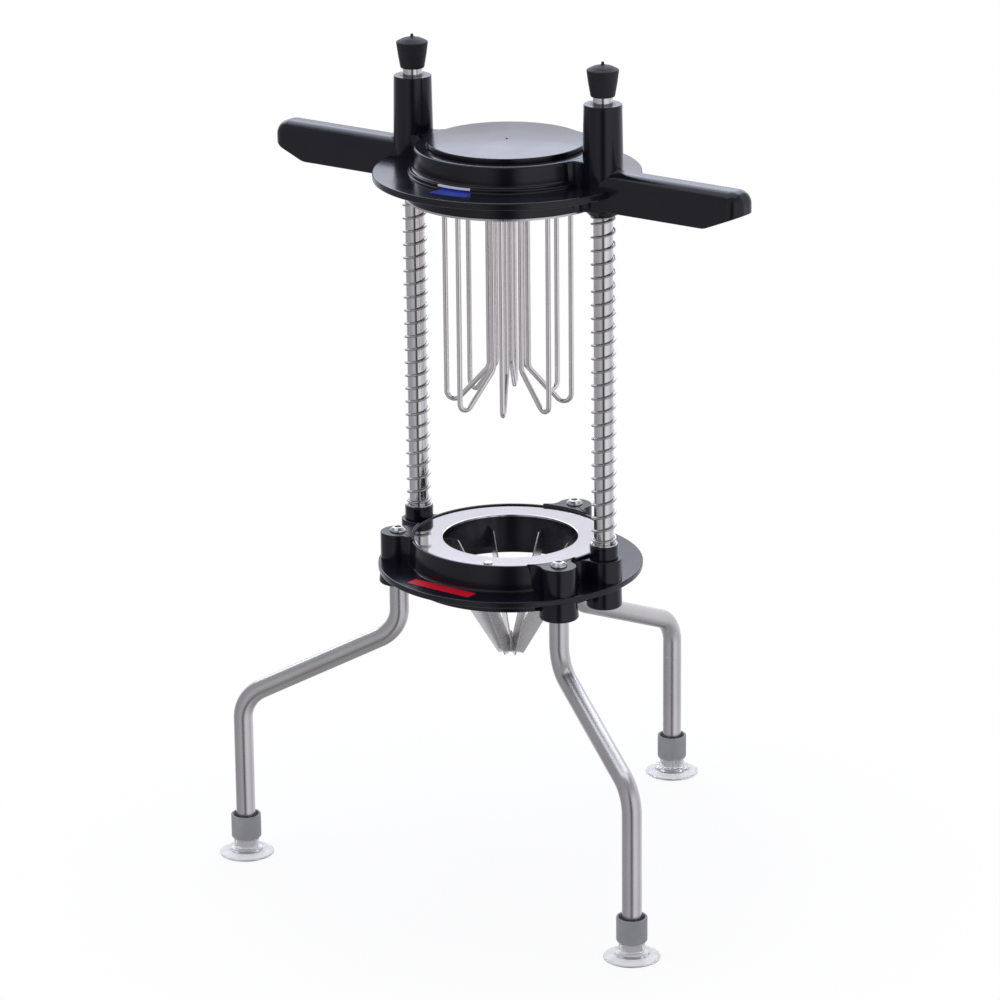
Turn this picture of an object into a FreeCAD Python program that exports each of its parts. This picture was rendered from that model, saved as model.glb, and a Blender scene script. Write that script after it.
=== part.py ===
import FreeCAD, Part
import math
import os
import Sketcher

# A plunger press that pushes a whole fruit through eight blades set in a V.
# Millimetres. Z is up, X runs along the two handles, and the legs stand on Z = 0.
# The origin is the middle of the footprint; the press axis stands a little in front of it.

os.makedirs("parts", exist_ok=True)
doc = FreeCAD.newDocument("fruit_wedger_press")
sheet = doc.addObject("Spreadsheet::Sheet", "dims")

# Driving dimensions: heights are above the surface the feet stand on, radii from the press axis
# unless the name says whose radius it is
driving = {
    # layout, and how far a cut runs past the face that it opens
    "past": 1.0,
    "pitch_radius": 81.0,
    "front_reach": 197.0,
    "rear_reach": 211.0,
    # base moulding
    "wall_radius": 71.5,
    "wall_draft": 1.0,
    "rim_top": 251.0,
    "rim_inner": 69.3,
    "flange_radius": 95.0,
    "flange_top": 232.3,
    "flange_thick": 4.3,
    "flange_bevel": 0.9,
    "ring_radius": 73.0,
    "ring_base": 217.0,
    "well_radius": 63.0,
    "well_ledge": 3.0,
    "well_floor": 226.0,
    "rod_boss_radius": 12.9,
    "rod_boss_top": 249.0,
    "rod_boss_base": 213.0,
    "leg_boss_radius": 12.7,
    "leg_boss_foot": 14.3,
    "leg_boss_top": 252.0,
    "leg_boss_base": 213.5,
    "boss_flare": 9.0,
    "boss_bevel": 1.8,
    # blade plate, holder and blades
    "plate_radius": 69.0,
    "plate_thick": 1.5,
    "plate_seat": 248.5,
    "plate_edge": 0.45,
    "aperture_edge": 0.8,
    "aperture_radius": 48.4,
    "holder_radius": 62.8,
    "holder_bore": 49.0,
    "peg_radius": 3.4,
    "peg_height": 1.2,
    "peg_pitch": 62.8,
    "peg_edge": 0.7,
    "blade_thick": 1.0,
    "blade_play": 0.1,
    "blade_bevel": 0.38,
    "blade_outer": 56.0,
    "blade_top": 240.0,
    "blade_depth": 13.6,
    "blade_tip": 162.5,
    "blade_tip_radius": 10.0,
    "blade_heel_radius": 48.0,
    "blade_shoulder": 5.5,
    "core_radius": 2.5,
    "core_point": 0.4,
    "core_rise": 5.0,
    # guide rods and what sits on them
    "rod_radius": 7.0,
    "rod_base": 222.0,
    "rod_top": 599.6,
    "rod_foot_edge": 0.6,
    "rod_top_edge": 1.0,
    "collar_radius": 10.2,
    "collar_play": 0.3,
    "collar_top": 259.0,
    "collar_edge": 0.8,
    "washer_radius": 9.6,
    "washer_play": 0.2,
    "washer_thick": 1.0,
    "spring_radius": 8.2,
    "spring_wire": 1.5,
    "spring_top": 499.1,
    "spring_turns": 24.0,
    "spring_end_pitch": 2.1,
    "knob_base": 582.6,
    "knob_foot": 8.4,
    "knob_edge": 0.7,
    "knob_waist": 10.05,
    "knob_waist_height": 591.9,
    "knob_radius": 11.3,
    "knob_shoulder": 601.2,
    "knob_crown": 7.0,
    "knob_crown_height": 603.3,
    "knob_dome": 604.9,
    "knob_pip": 606.8,
    "knob_pip_radius": 1.1,
    # legs and feet
    "tube_radius": 7.0,
    "tube_wall": 1.2,
    "leg_top": 238.0,
    "leg_foot": 6.0,
    "leg_bend": 25.0,
    "leg_upper_bend": 193.0,
    "leg_lower_bend": 106.0,
    "plug_length": 12.0,
    "sleeve_radius": 10.9,
    "sleeve_base": 12.4,
    "sleeve_top": 30.5,
    "sleeve_mouth": 9.3,
    "sleeve_mouth_depth": 5.0,
    "sleeve_foot_edge": 1.6,
    "sleeve_edge": 0.5,
    "cup_radius": 20.0,
    "cup_rim": 2.6,
    "cup_edge": 0.9,
    "cup_hollow": 2.0,
    "cup_step": 12.5,
    "cup_step_base": 3.2,
    "cup_step_top": 5.0,
    "cup_neck": 9.3,
    "cup_neck_base": 5.8,
    # screws
    "screw_play": 0.3,
    "leg_screw_head": 6.0,
    "leg_screw_height": 3.2,
    "leg_screw_shank": 3.0,
    "leg_screw_recess": 1.5,
    "leg_screw_length": 20.9,
    "rod_screw_head": 4.5,
    "rod_screw_height": 3.0,
    "rod_screw_shank": 2.5,
    "rod_screw_bore": 16.0,
    "rod_screw_recess": 3.6,
    "screw_socket": 2.5,
    # press head moulding
    "head_skirt_radius": 71.5,
    "head_base": 502.5,
    "head_flange_radius": 94.5,
    "head_flange_top": 519.5,
    "head_flange_thick": 5.0,
    "hub_step_radius": 68.8,
    "hub_step_edge": 0.8,
    "hub_step_top": 521.7,
    "hub_foot": 523.7,
    "hub_radius": 65.0,
    "hub_top": 537.5,
    "hub_bevel": 2.0,
    "hub_well": 52.0,
    "cover_seat": 534.0,
    "cover_well": 56.3,
    "sleeve_tube_radius": 13.4,
    "sleeve_tube_foot": 14.2,
    "sleeve_tube_top": 577.3,
    "boss_under": 499.5,
    "boss_under_radius": 10.4,
    "boss_under_edge": 0.8,
    "boss_root_radius": 13.4,
    "boss_root_height": 504.0,
    "sleeve_tube_low": 507.5,
    "sleeve_tube_waist": 529.0,
    "sleeve_tube_edge": 0.8,
    "arm_root": 58.0,
    "arm_tip": 198.3,
    "arm_half_width": 13.2,
    "arm_top": 531.5,
    "arm_base": 504.4,
    "arm_undercut": 171.2,
    "arm_tip_base": 515.6,
    "arm_round": 10.0,
    # cover, bushes, pusher
    "cover_radius": 55.5,
    "cover_top": 541.0,
    "cover_crown": 1.0,
    "cover_thick": 2.4,
    "cover_edge": 0.9,
    "cover_lip": 2.0,
    "cover_middle": 33.3,
    "cover_middle_rise": 0.7,
    "cover_pip": 1.0,
    "cover_pip_rise": 0.5,
    "bush_radius": 8.8,
    "bush_clearance": 0.05,
    "bush_length": 15.0,
    "pusher_thick": 1.5,
    "finger_radius": 1.9,
    "finger_outer": 44.4,
    "finger_inner": 14.0,
    "finger_bottom": 350.0,
    "finger_bend": 5.5,
    "finger_neck": 379.5,
    "finger_neck_bend": 8.0,
    "pusher_screw_pitch": 60.0,
    "pusher_screw_head": 4.0,
    "pusher_screw_height": 2.4,
    "pusher_screw_shank": 2.0,
    "pusher_screw_depth": 10.0,
}
for row, (alias, value) in enumerate(driving.items(), start=1):
    sheet.set(f"A{row}", alias.replace("_", " "))
    sheet.set(f"B{row}", str(value))
    sheet.setAlias(f"B{row}", alias)
doc.recompute()

# Angles about the press axis, seen from above
rod_angles = {"left": 180, "right": 0}
leg_angles = {"front_left": -150, "front_right": -30, "rear": 90}
blade_count = 8
finger_angle = -15.7
blade_angle = finger_angle + 180 / blade_count
peg_angle = -69.2
axis_shift = "(dims.front_reach / 2 - dims.rear_reach) / 2"


def size(text):
    """The number that an expression of sheet aliases works out to."""
    return float(sheet.evalExpression(text))


def bind(item, path, text):
    item.setExpression(path, text)


def place(item, reach="0", angle=0.0, turn=None, shifted=True):
    """Stand a finished piece at a radius and angle about the press axis."""
    turned = angle if turn is None else turn
    item.Placement = FreeCAD.Placement(
        FreeCAD.Vector(0, 0, 0), FreeCAD.Rotation(FreeCAD.Vector(0, 0, 1), turned))
    shift = axis_shift if shifted else "0"
    bind(item, "Placement.Base.x", f"({reach}) * cos({angle} deg)")
    bind(item, "Placement.Base.y", f"({reach}) * sin({angle} deg) + {shift}")
    return item


def new_body(name):
    return doc.addObject("PartDesign::Body", name)


def new_sketch(body, role, name, height="0"):
    """A sketch on one of the body's own origin planes, lifted to a height."""
    plane = [item for item in body.Origin.OriginFeatures if item.Role == role][0]
    sketch = body.newObject("Sketcher::SketchObject", f"{body.Name}_{name}")
    sketch.AttachmentSupport = [(plane, "")]
    sketch.MapMode = "FlatFace"
    if height != "0":
        bind(sketch, "AttachmentOffset.Base.z", height)
    return sketch


def fix_point(sketch, line, end, across, up):
    """Hold one end of a line at a place given by two expressions of the sheet."""
    if across == "0":
        sketch.addConstraint(Sketcher.Constraint("PointOnObject", line, end, -2))
    else:
        number = sketch.addConstraint(
            Sketcher.Constraint("DistanceX", -1, 1, line, end, size(across)))
        bind(sketch, f"Constraints[{number}]", across)
    if up == "0":
        sketch.addConstraint(Sketcher.Constraint("PointOnObject", line, end, -1))
    else:
        number = sketch.addConstraint(
            Sketcher.Constraint("DistanceY", -1, 1, line, end, size(up)))
        bind(sketch, f"Constraints[{number}]", up)


def outline(sketch, corners):
    """A closed run of straight lines through corners, each a pair of expressions."""
    points = [FreeCAD.Vector(size(across), size(up), 0) for across, up in corners]
    for start, end in zip(points, points[1:] + points[:1]):
        sketch.addGeometry(Part.LineSegment(start, end), False)
    for line in range(len(points)):
        after = (line + 1) % len(points)
        sketch.addConstraint(Sketcher.Constraint("Coincident", line, 2, after, 1))
        fix_point(sketch, line, 1, *corners[line])
    return sketch


def circle(sketch, radius, across="0", up="0"):
    """A circle with its centre held at a place given by two expressions."""
    centre = FreeCAD.Vector(size(across), size(up), 0)
    ring = sketch.addGeometry(Part.Circle(centre, FreeCAD.Vector(0, 0, 1), size(radius)), False)
    number = sketch.addConstraint(Sketcher.Constraint("Radius", ring, size(radius)))
    bind(sketch, f"Constraints[{number}]", radius)
    if across == "0" and up == "0":
        sketch.addConstraint(Sketcher.Constraint("Coincident", ring, 3, -1, 1))
    else:
        fix_point(sketch, ring, 3, across, up)
    return ring


def revolved(name, corners):
    """A body turned about Z from an outline of (radius, height) corners."""
    body = new_body(name)
    sketch = outline(new_sketch(body, "XZ_Plane", "section"), corners)
    turn = body.newObject("PartDesign::Revolution", f"{name}_turn")
    turn.Profile = sketch
    turn.ReferenceAxis = (sketch, ["V_Axis"])
    turn.Angle = 360
    body.Tip = turn
    doc.recompute()
    return body


def padded(body, sketch, thickness):
    """A pad of the sketch, half of its thickness each side of the sketch's plane."""
    pad = body.newObject("PartDesign::Pad", f"{body.Name}_pad")
    pad.Profile = sketch
    pad.SideType = "Symmetric"
    bind(pad, "Length", thickness)
    body.Tip = pad
    doc.recompute()
    return pad


def pocket(body, sketch, depth, upward):
    """A pocket from the sketch's plane, with its effect on the volume checked."""
    before = body.Tip.Shape.Volume
    cut = body.newObject("PartDesign::Pocket", f"{sketch.Name}_pocket")
    cut.Profile = sketch
    cut.Reversed = upward
    bind(cut, "Length", depth)
    body.Tip = cut
    doc.recompute()
    if cut.Shape.Volume > before - 0.01:
        raise RuntimeError(f"{cut.Name} cuts nothing")
    return cut


def around(body, feature, count):
    """Repeat a cut evenly round the body's Z axis."""
    axis = [item for item in body.Origin.OriginFeatures if item.Role == "Z_Axis"][0]
    pattern = body.newObject("PartDesign::PolarPattern", f"{feature.Name}_ring")
    pattern.Originals = [feature]
    pattern.Axis = (axis, [""])
    pattern.Angle = 360
    pattern.Occurrences = count
    body.Tip = pattern
    doc.recompute()
    return pattern


def edge_names(shape, wanted):
    return [f"Edge{number}" for number, edge in enumerate(shape.Edges, start=1) if wanted(edge)]


def dress(body, kind, amount, wanted):
    """A fillet or chamfer on the edges of the body's last feature that the test picks."""
    base = body.Tip
    feature = body.newObject(f"PartDesign::{kind}", f"{body.Name}_{kind.lower()}")
    feature.Base = (base, edge_names(base.Shape, wanted))
    bind(feature, "Radius" if kind == "Fillet" else "Size", amount)
    body.Tip = feature
    doc.recompute()
    return body


def cylinder(name, radius, base, top, reach="0", angle=0.0):
    item = doc.addObject("Part::Cylinder", name)
    bind(item, "Radius", radius)
    bind(item, "Height", f"({top}) - ({base})")
    place(item, reach, angle, shifted=False)
    bind(item, "Placement.Base.z", base)
    return item


def fused(name, pieces):
    item = doc.addObject("Part::MultiFuse", name)
    item.Shapes = pieces
    return item


def cut(name, base, tools):
    item = doc.addObject("Part::Cut", name)
    item.Base = base
    item.Tool = fused(f"{name}_tools", tools) if len(tools) > 1 else tools[0]
    return item


def grouped(name, pieces):
    item = doc.addObject("Part::Compound", name)
    item.Links = pieces
    return item


# Bent tube and wire: down at one radius, round two bends and along at another radius

def tangent_heading(first, second, first_turn, second_turn):
    """Heading of the straight line that leaves one bend and enters the next.

    Each bend is (centre across, centre up, radius), and its turn is +1 to the left, -1 to the right.
    """
    across = second[0] - first[0]
    up = second[1] - first[1]
    offset = second_turn * second[2] - first_turn * first[2]
    return math.atan2(up, across) - math.asin(offset / math.hypot(across, up))


def bent_path(sketch, start, end, bends, turns):
    """Line, arc, line, arc, line, all tangent, in a sketch; the outer lines are vertical.

    start and end are (across, up) expressions, and each bend is (height, radius) expressions.
    """
    headings = [-math.pi / 2, -math.pi / 2 if turns[0] != turns[1] else math.pi / 2]
    centres = []
    for (across, _), (height, radius), turn, heading in zip((start, end), bends, turns, headings):
        side = -math.sin(heading) * turn
        centres.append((size(across) + side * size(radius), size(height), size(radius)))
    slope = tangent_heading(centres[0], centres[1], *turns)

    def on_bend(centre, turn, heading):
        return FreeCAD.Vector(
            centre[0] + turn * centre[2] * math.sin(heading),
            centre[1] - turn * centre[2] * math.cos(heading), 0)

    def bend(centre, turn, entry, leave):
        sweep = (leave - entry) % (2 * math.pi) if turn > 0 else -((entry - leave) % (2 * math.pi))
        stations = [on_bend(centre, turn, entry + sweep * share) for share in (0, 0.5, 1)]
        return Part.Arc(*stations), stations[0], stations[2]

    first, a_in, a_out = bend(centres[0], turns[0], headings[0], slope)
    second, b_in, b_out = bend(centres[1], turns[1], slope, headings[1])
    begin = FreeCAD.Vector(size(start[0]), size(start[1]), 0)
    finish = FreeCAD.Vector(size(end[0]), size(end[1]), 0)
    for item in (
        Part.LineSegment(begin, a_in), first, Part.LineSegment(a_out, b_in), second,
        Part.LineSegment(b_out, finish),
    ):
        sketch.addGeometry(item, False)
    return sketch


def bent_bar(name, start, end, bends, turns, radius, bore=None):
    """A body swept along a bent path in its XZ plane, solid or with a bore."""
    body = new_body(name)
    path = bent_path(new_sketch(body, "XZ_Plane", "path"), start, end, bends, turns)
    section = new_sketch(body, "XY_Plane", "section", start[1])
    circle(section, radius, start[0])
    if bore:
        circle(section, bore, start[0])
    doc.recompute()
    sweep = body.newObject("PartDesign::AdditivePipe", f"{name}_sweep")
    sweep.Profile = section
    sweep.Spine = (path, [f"Edge{number}" for number in range(1, 6)])
    body.Tip = sweep
    doc.recompute()
    return body


# Wound springs: a helix of biarcs, one for each half turn

def biarc(start, start_tangent, end, end_tangent):
    """Two arcs from start to end that leave and arrive along the given unit tangents."""
    chord = end - start
    both = start_tangent + end_tangent
    spread = 2 * (1 - start_tangent.dot(end_tangent))
    along = chord.dot(both)
    reach = (math.sqrt(along * along + spread * chord.dot(chord)) - along) / spread
    near = start + start_tangent * reach
    far = end - end_tangent * reach
    joint = (near + far) * 0.5
    arcs = []
    for first, corner, last in ((start, near, joint), (joint, far, end)):
        middle = (first + last) * 0.5
        weight = (first - middle).Length / (first - corner).Length
        crown = (first + corner * (2 * weight) + last) * (1 / (2 + 2 * weight))
        arcs.append(Part.Arc(first, crown, last))
    return arcs


def spring_height(turn, coils, low, high, end_pitch):
    """Height of the wire's centre after a number of turns: one close turn at each end."""
    pitch = (high - low - 2 * end_pitch) / (coils - 2)
    close = min(turn, 1.0) + max(turn - (coils - 1), 0.0)
    open_turns = min(max(turn - 1.0, 0.0), coils - 2)
    return low + close * end_pitch + open_turns * pitch


def spring_shape():
    """One unbroken wire wound round the rod, its two ends straight for one wire thickness."""
    radius = size("dims.spring_radius")
    wire = size("dims.spring_wire")
    coils = size("dims.spring_turns") + 2
    low = size("dims.collar_top + dims.washer_thick") + wire / 2
    high = size("dims.spring_top") - wire / 2
    end_pitch = size("dims.spring_end_pitch")
    halves = int(2 * coils)

    def station(half):
        turn = half / 2
        angle = 2 * math.pi * turn
        height = spring_height(turn, coils, low, high, end_pitch)
        step = 0.02
        rise = (
            spring_height(turn + step, coils, low, high, end_pitch)
            - spring_height(turn - step, coils, low, high, end_pitch)
        ) / (2 * step)
        if half in (0, halves):
            rise = 0.0
        tangent = FreeCAD.Vector(
            -math.sin(angle), math.cos(angle), rise / (2 * math.pi * radius))
        place_now = FreeCAD.Vector(radius * math.cos(angle), radius * math.sin(angle), height)
        return place_now, tangent.normalize()

    stations = [station(half) for half in range(halves + 1)]
    first, first_tangent = stations[0]
    last, last_tangent = stations[-1]
    curves = [Part.LineSegment(first - first_tangent * wire, first)]
    for (here, leave), (there, arrive) in zip(stations, stations[1:]):
        curves.extend(biarc(here, leave, there, arrive))
    curves.append(Part.LineSegment(last, last + last_tangent * wire))
    path = Part.Wire([curve.toShape() for curve in curves])

    # The wire's section has four flats and the same area as the round wire
    flat = wire * math.sqrt(math.pi) / 2
    begin = first - first_tangent * wire
    outward = FreeCAD.Vector(1, 0, 0) * (flat / 2)
    upward = outward.cross(first_tangent)
    corners = [begin + outward + upward, begin - outward + upward,
               begin - outward - upward, begin + outward - upward]
    solid = path.makePipeShell([Part.makePolygon(corners + corners[:1])], True, False)

    # The nearest that one turn comes to the next, on points along the wire's centre
    samples = 6
    points = []
    for curve in curves[1:-1]:
        span = curve.LastParameter - curve.FirstParameter
        points.extend(
            curve.value(curve.FirstParameter + span * n / samples) for n in range(samples))
    turn = 4 * samples
    nearest = min(
        (here - there).Length
        for number, here in enumerate(points)
        for there in points[number + turn - samples:number + turn + samples]
    )
    print(f"spring: {coils:g} turns, least gap to itself {nearest - flat:.2f} mm")
    print(f"spring: volume {solid.Volume:.0f}, section times length {flat ** 2 * path.Length:.0f}")
    return solid


# Screws: a domed head with a hexagon socket, and a plain shank; the shares are of the head's size

dome_edge, dome_shoulder, dome_flat = 0.3, 0.8, 0.45
socket_depth = 0.7


def screw(name, head, height, shank, length, under, down=True):
    """A button screw; under is the height of the face its head seats on."""
    way = "-" if down else "+"
    back = "+" if down else "-"
    seat = under
    body = revolved(name, [
        ("0", f"{seat} {way} ({length})"),
        (shank, f"{seat} {way} ({length})"),
        (shank, seat),
        (head, seat),
        (head, f"{seat} {back} ({height}) * {dome_edge}"),
        (f"({head}) * {dome_shoulder}", f"{seat} {back} ({height}) * {dome_shoulder}"),
        (f"({head}) * {dome_flat}", f"{seat} {back} ({height})"),
        ("0", f"{seat} {back} ({height})"),
    ])
    sketch = new_sketch(body, "XY_Plane", "socket", f"{seat} {back} ({height})")
    corners = [
        (f"dims.screw_socket * {math.cos(math.radians(60 * n)):.6f}",
         f"dims.screw_socket * {math.sin(math.radians(60 * n)):.6f}" if n % 3 else "0")
        for n in range(6)
    ]
    outline(sketch, corners)
    doc.recompute()
    pocket(body, sketch, f"({height}) * {socket_depth}", not down)
    return body


subparts = {}


def keep(item, name):
    item.Label = name
    subparts[name] = item
    return item


# Base moulding: a walled ring on a flange, with two rod bosses and three leg bosses

# A web's inner end, as a share of the wall's radius
into_wall = 0.93


def flared_web(name, wall_radius, boss_radius, base, top):
    """A block that joins a round boss to a round wall, with a hollow flare on each side.

    Each flare is an arc that touches the boss and the wall from outside.
    """
    wall, boss, flare = size(wall_radius), size(boss_radius), size("dims.boss_flare")
    reach = size("dims.pitch_radius")
    from_axis, from_boss = wall + flare, boss + flare
    centre_x = (from_axis ** 2 + reach ** 2 - from_boss ** 2) / (2 * reach)
    centre_y = math.sqrt(from_axis ** 2 - centre_x ** 2)

    def flare_points(side):
        centre = FreeCAD.Vector(centre_x, centre_y * side, 0)
        on_wall = centre * (wall / from_axis)
        to_boss = FreeCAD.Vector(reach, 0, 0) - centre
        on_boss = centre + to_boss * (flare / from_boss)
        middle = (on_wall + on_boss) * 0.5 - centre
        return on_wall, centre + middle.normalize() * flare, on_boss

    upper, lower = flare_points(1), flare_points(-1)
    body = new_body(name)
    sketch = new_sketch(body, "XY_Plane", "plan", base)
    for curve in (
        Part.Arc(*upper),
        Part.LineSegment(upper[2], lower[2]),
        Part.Arc(lower[2], lower[1], lower[0]),
        Part.LineSegment(lower[0], lower[0] * into_wall),
        Part.LineSegment(lower[0] * into_wall, upper[0] * into_wall),
        Part.LineSegment(upper[0] * into_wall, upper[0]),
    ):
        sketch.addGeometry(curve, False)
    doc.recompute()
    pad = body.newObject("PartDesign::Pad", f"{name}_pad")
    pad.Profile = sketch
    bind(pad, "Length", f"({top}) - ({base})")
    body.Tip = pad
    doc.recompute()
    return body


def flared_boss(name, top_radius, foot_radius, base, top, web_base):
    """A round boss beside the ring wall, with its web."""
    column = revolved(f"{name}_column", [
        ("0", base),
        (f"{foot_radius} - dims.boss_bevel", base),
        (foot_radius, f"{base} + dims.boss_bevel"),
        (top_radius, top),
        ("0", top),
    ])
    place(column, "dims.pitch_radius", shifted=False)
    web = flared_web(f"{name}_web", "dims.wall_radius", top_radius, web_base, top)
    return fused(f"{name}_boss", [column, web])


flange_base = "dims.flange_top - dims.flange_thick"
base_section = revolved("base_section", [
    ("dims.well_radius - dims.well_ledge", "dims.ring_base"),
    ("dims.ring_radius", "dims.ring_base"),
    ("dims.ring_radius", flange_base),
    ("dims.flange_radius - dims.flange_bevel", flange_base),
    ("dims.flange_radius", f"{flange_base} + dims.flange_bevel"),
    ("dims.flange_radius", "dims.flange_top - dims.flange_bevel"),
    ("dims.flange_radius - dims.flange_bevel", "dims.flange_top"),
    ("dims.wall_radius + dims.wall_draft", "dims.flange_top"),
    ("dims.wall_radius", "dims.rim_top - dims.flange_bevel"),
    ("dims.wall_radius - dims.flange_bevel", "dims.rim_top"),
    ("dims.rim_inner", "dims.rim_top"),
    ("dims.rim_inner", "dims.plate_seat"),
    ("dims.well_radius", "dims.plate_seat"),
    ("dims.well_radius", "dims.well_floor"),
    ("dims.well_radius - dims.well_ledge", "dims.well_floor"),
])

base_pieces = [base_section]
base_tools = [cylinder("plate_well", "dims.rim_inner", "dims.plate_seat",
                       "dims.leg_boss_top + dims.past")]
for side, angle in rod_angles.items():
    boss = flared_boss(
        f"{side}_rod", "dims.rod_boss_radius", "dims.rod_boss_radius",
        "dims.rod_boss_base", "dims.rod_boss_top", "dims.flange_top - dims.past")
    base_pieces.append(place(boss, "0", angle, shifted=False))
    for label, radius, low, high in (
        ("rod_bore", "dims.rod_radius", "dims.rod_base", "dims.rod_boss_top + dims.past"),
        ("collar_relief", "dims.collar_radius + dims.collar_play", "dims.rod_boss_top",
         "dims.rim_top + dims.past"),
        ("rod_screw_way", "dims.rod_screw_shank + dims.screw_play",
         "dims.rod_boss_base - dims.past", "dims.rod_base + dims.past"),
        ("rod_screw_well", "dims.rod_screw_head + dims.screw_play * 2",
         "dims.rod_boss_base - dims.past", "dims.rod_boss_base + dims.rod_screw_recess"),
    ):
        base_tools.append(cylinder(f"{side}_{label}", radius, low, high, "dims.pitch_radius", angle))
for side, angle in leg_angles.items():
    boss = flared_boss(
        f"{side}_leg", "dims.leg_boss_radius", "dims.leg_boss_foot",
        "dims.leg_boss_base", "dims.leg_boss_top", "dims.flange_top - dims.past")
    base_pieces.append(place(boss, "0", angle, shifted=False))
    for label, radius, low, high in (
        ("leg_bore", "dims.tube_radius", "dims.leg_boss_base - dims.past", "dims.leg_top"),
        ("leg_screw_way", "dims.leg_screw_shank + dims.screw_play",
         "dims.leg_top - dims.past", "dims.leg_boss_top + dims.past"),
        ("leg_screw_well", "dims.leg_screw_head + dims.screw_play * 2",
         "dims.leg_boss_top - dims.leg_screw_recess", "dims.leg_boss_top + dims.past"),
    ):
        base_tools.append(cylinder(f"{side}_{label}", radius, low, high, "dims.pitch_radius", angle))
base = cut("base_cut", fused("base_solid", base_pieces), base_tools)
keep(place(base), "base_moulding")

# Blade plate with its round aperture, and the peg that keys it
plate_disc = revolved("plate_disc", [
    ("dims.aperture_radius", "dims.plate_seat"),
    ("dims.plate_radius", "dims.plate_seat"),
    ("dims.plate_radius", "dims.plate_seat + dims.plate_thick - dims.plate_edge"),
    ("dims.plate_radius - dims.plate_edge", "dims.plate_seat + dims.plate_thick"),
    ("dims.aperture_radius + dims.aperture_edge", "dims.plate_seat + dims.plate_thick"),
    ("dims.aperture_radius", "dims.plate_seat + dims.plate_thick - dims.aperture_edge"),
])
plate = cut("plate_cut", plate_disc, [cylinder(
    "peg_hole", "dims.peg_radius", "dims.plate_seat - dims.past",
    "dims.plate_seat + dims.plate_thick + dims.past", "dims.peg_pitch", peg_angle)])
keep(place(plate), "blade_plate")
peg = revolved("peg", [
    ("0", "dims.plate_seat"),
    ("dims.peg_radius", "dims.plate_seat"),
    ("dims.peg_radius", "dims.plate_seat + dims.plate_thick + dims.peg_height - dims.peg_edge"),
    ("dims.peg_radius - dims.peg_edge", "dims.plate_seat + dims.plate_thick + dims.peg_height"),
    ("0", "dims.plate_seat + dims.plate_thick + dims.peg_height"),
])
keep(place(peg, "dims.peg_pitch", peg_angle), "plate_peg")

# Blade holder: the ring under the plate, slotted for the eight blade tails
holder = revolved("holder", [
    ("dims.holder_bore", "dims.well_floor"),
    ("dims.holder_radius", "dims.well_floor"),
    ("dims.holder_radius", "dims.plate_seat"),
    ("dims.holder_bore", "dims.plate_seat"),
])
slot_sketch = outline(new_sketch(holder, "XZ_Plane", "slot"), [
    ("dims.holder_bore - dims.past", "dims.well_floor - dims.past"),
    ("dims.blade_outer + dims.blade_play", "dims.well_floor - dims.past"),
    ("dims.blade_outer + dims.blade_play", "dims.blade_top + dims.blade_play"),
    ("dims.holder_bore - dims.past", "dims.blade_top + dims.blade_play"),
])
doc.recompute()
slot = holder.newObject("PartDesign::Pocket", "holder_slot")
slot.Profile = slot_sketch
slot.SideType = "Symmetric"
bind(slot, "Length", "dims.blade_thick + dims.blade_play * 2")
holder.Tip = slot
doc.recompute()
around(holder, slot, blade_count)
keep(place(holder, "0", blade_angle), "blade_holder")

# Each blade is a flat strip on edge: it slopes from its tail in the holder down to the core
slope = ("(dims.well_floor - dims.blade_tip) / (dims.blade_heel_radius - dims.blade_tip_radius)")
shoulder = "dims.blade_heel_radius - dims.blade_shoulder"
core_top = f"dims.blade_top - ({shoulder} - dims.core_radius) * {slope}"
blade_corners = [
    ("dims.core_radius", "dims.blade_tip"),
    ("dims.blade_tip_radius", "dims.blade_tip"),
    ("dims.blade_heel_radius", "dims.well_floor"),
    ("dims.blade_outer", "dims.well_floor"),
    ("dims.blade_outer", "dims.blade_top"),
    (shoulder, "dims.blade_top"),
    ("dims.core_radius", core_top),
]
for number in range(blade_count):
    name = f"wedge_blade_{number + 1}"
    blade = new_body(f"{name}_body")
    padded(blade, outline(new_sketch(blade, "XZ_Plane", "strip"), blade_corners), "dims.blade_thick")
    low, high = size("dims.core_radius"), size(shoulder)

    def on_cutting_edge(edge):
        ends = [vertex.Point for vertex in edge.Vertexes]
        return (
            abs(abs(ends[0].x - ends[1].x) - (high - low)) < 0.01
            and abs(max(ends[0].z, ends[1].z) - size("dims.blade_top")) < 0.01
        )

    dress(blade, "Chamfer", "dims.blade_bevel", on_cutting_edge)
    keep(place(blade, "0", blade_angle + number * 360 / blade_count), name)
core = revolved("core", [
    ("0", "dims.blade_tip"),
    ("dims.core_radius", "dims.blade_tip"),
    ("dims.core_radius", core_top),
    ("dims.core_point", f"{core_top} + dims.core_rise"),
    ("0", f"{core_top} + dims.core_rise"),
])
keep(place(core), "blade_core")

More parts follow.
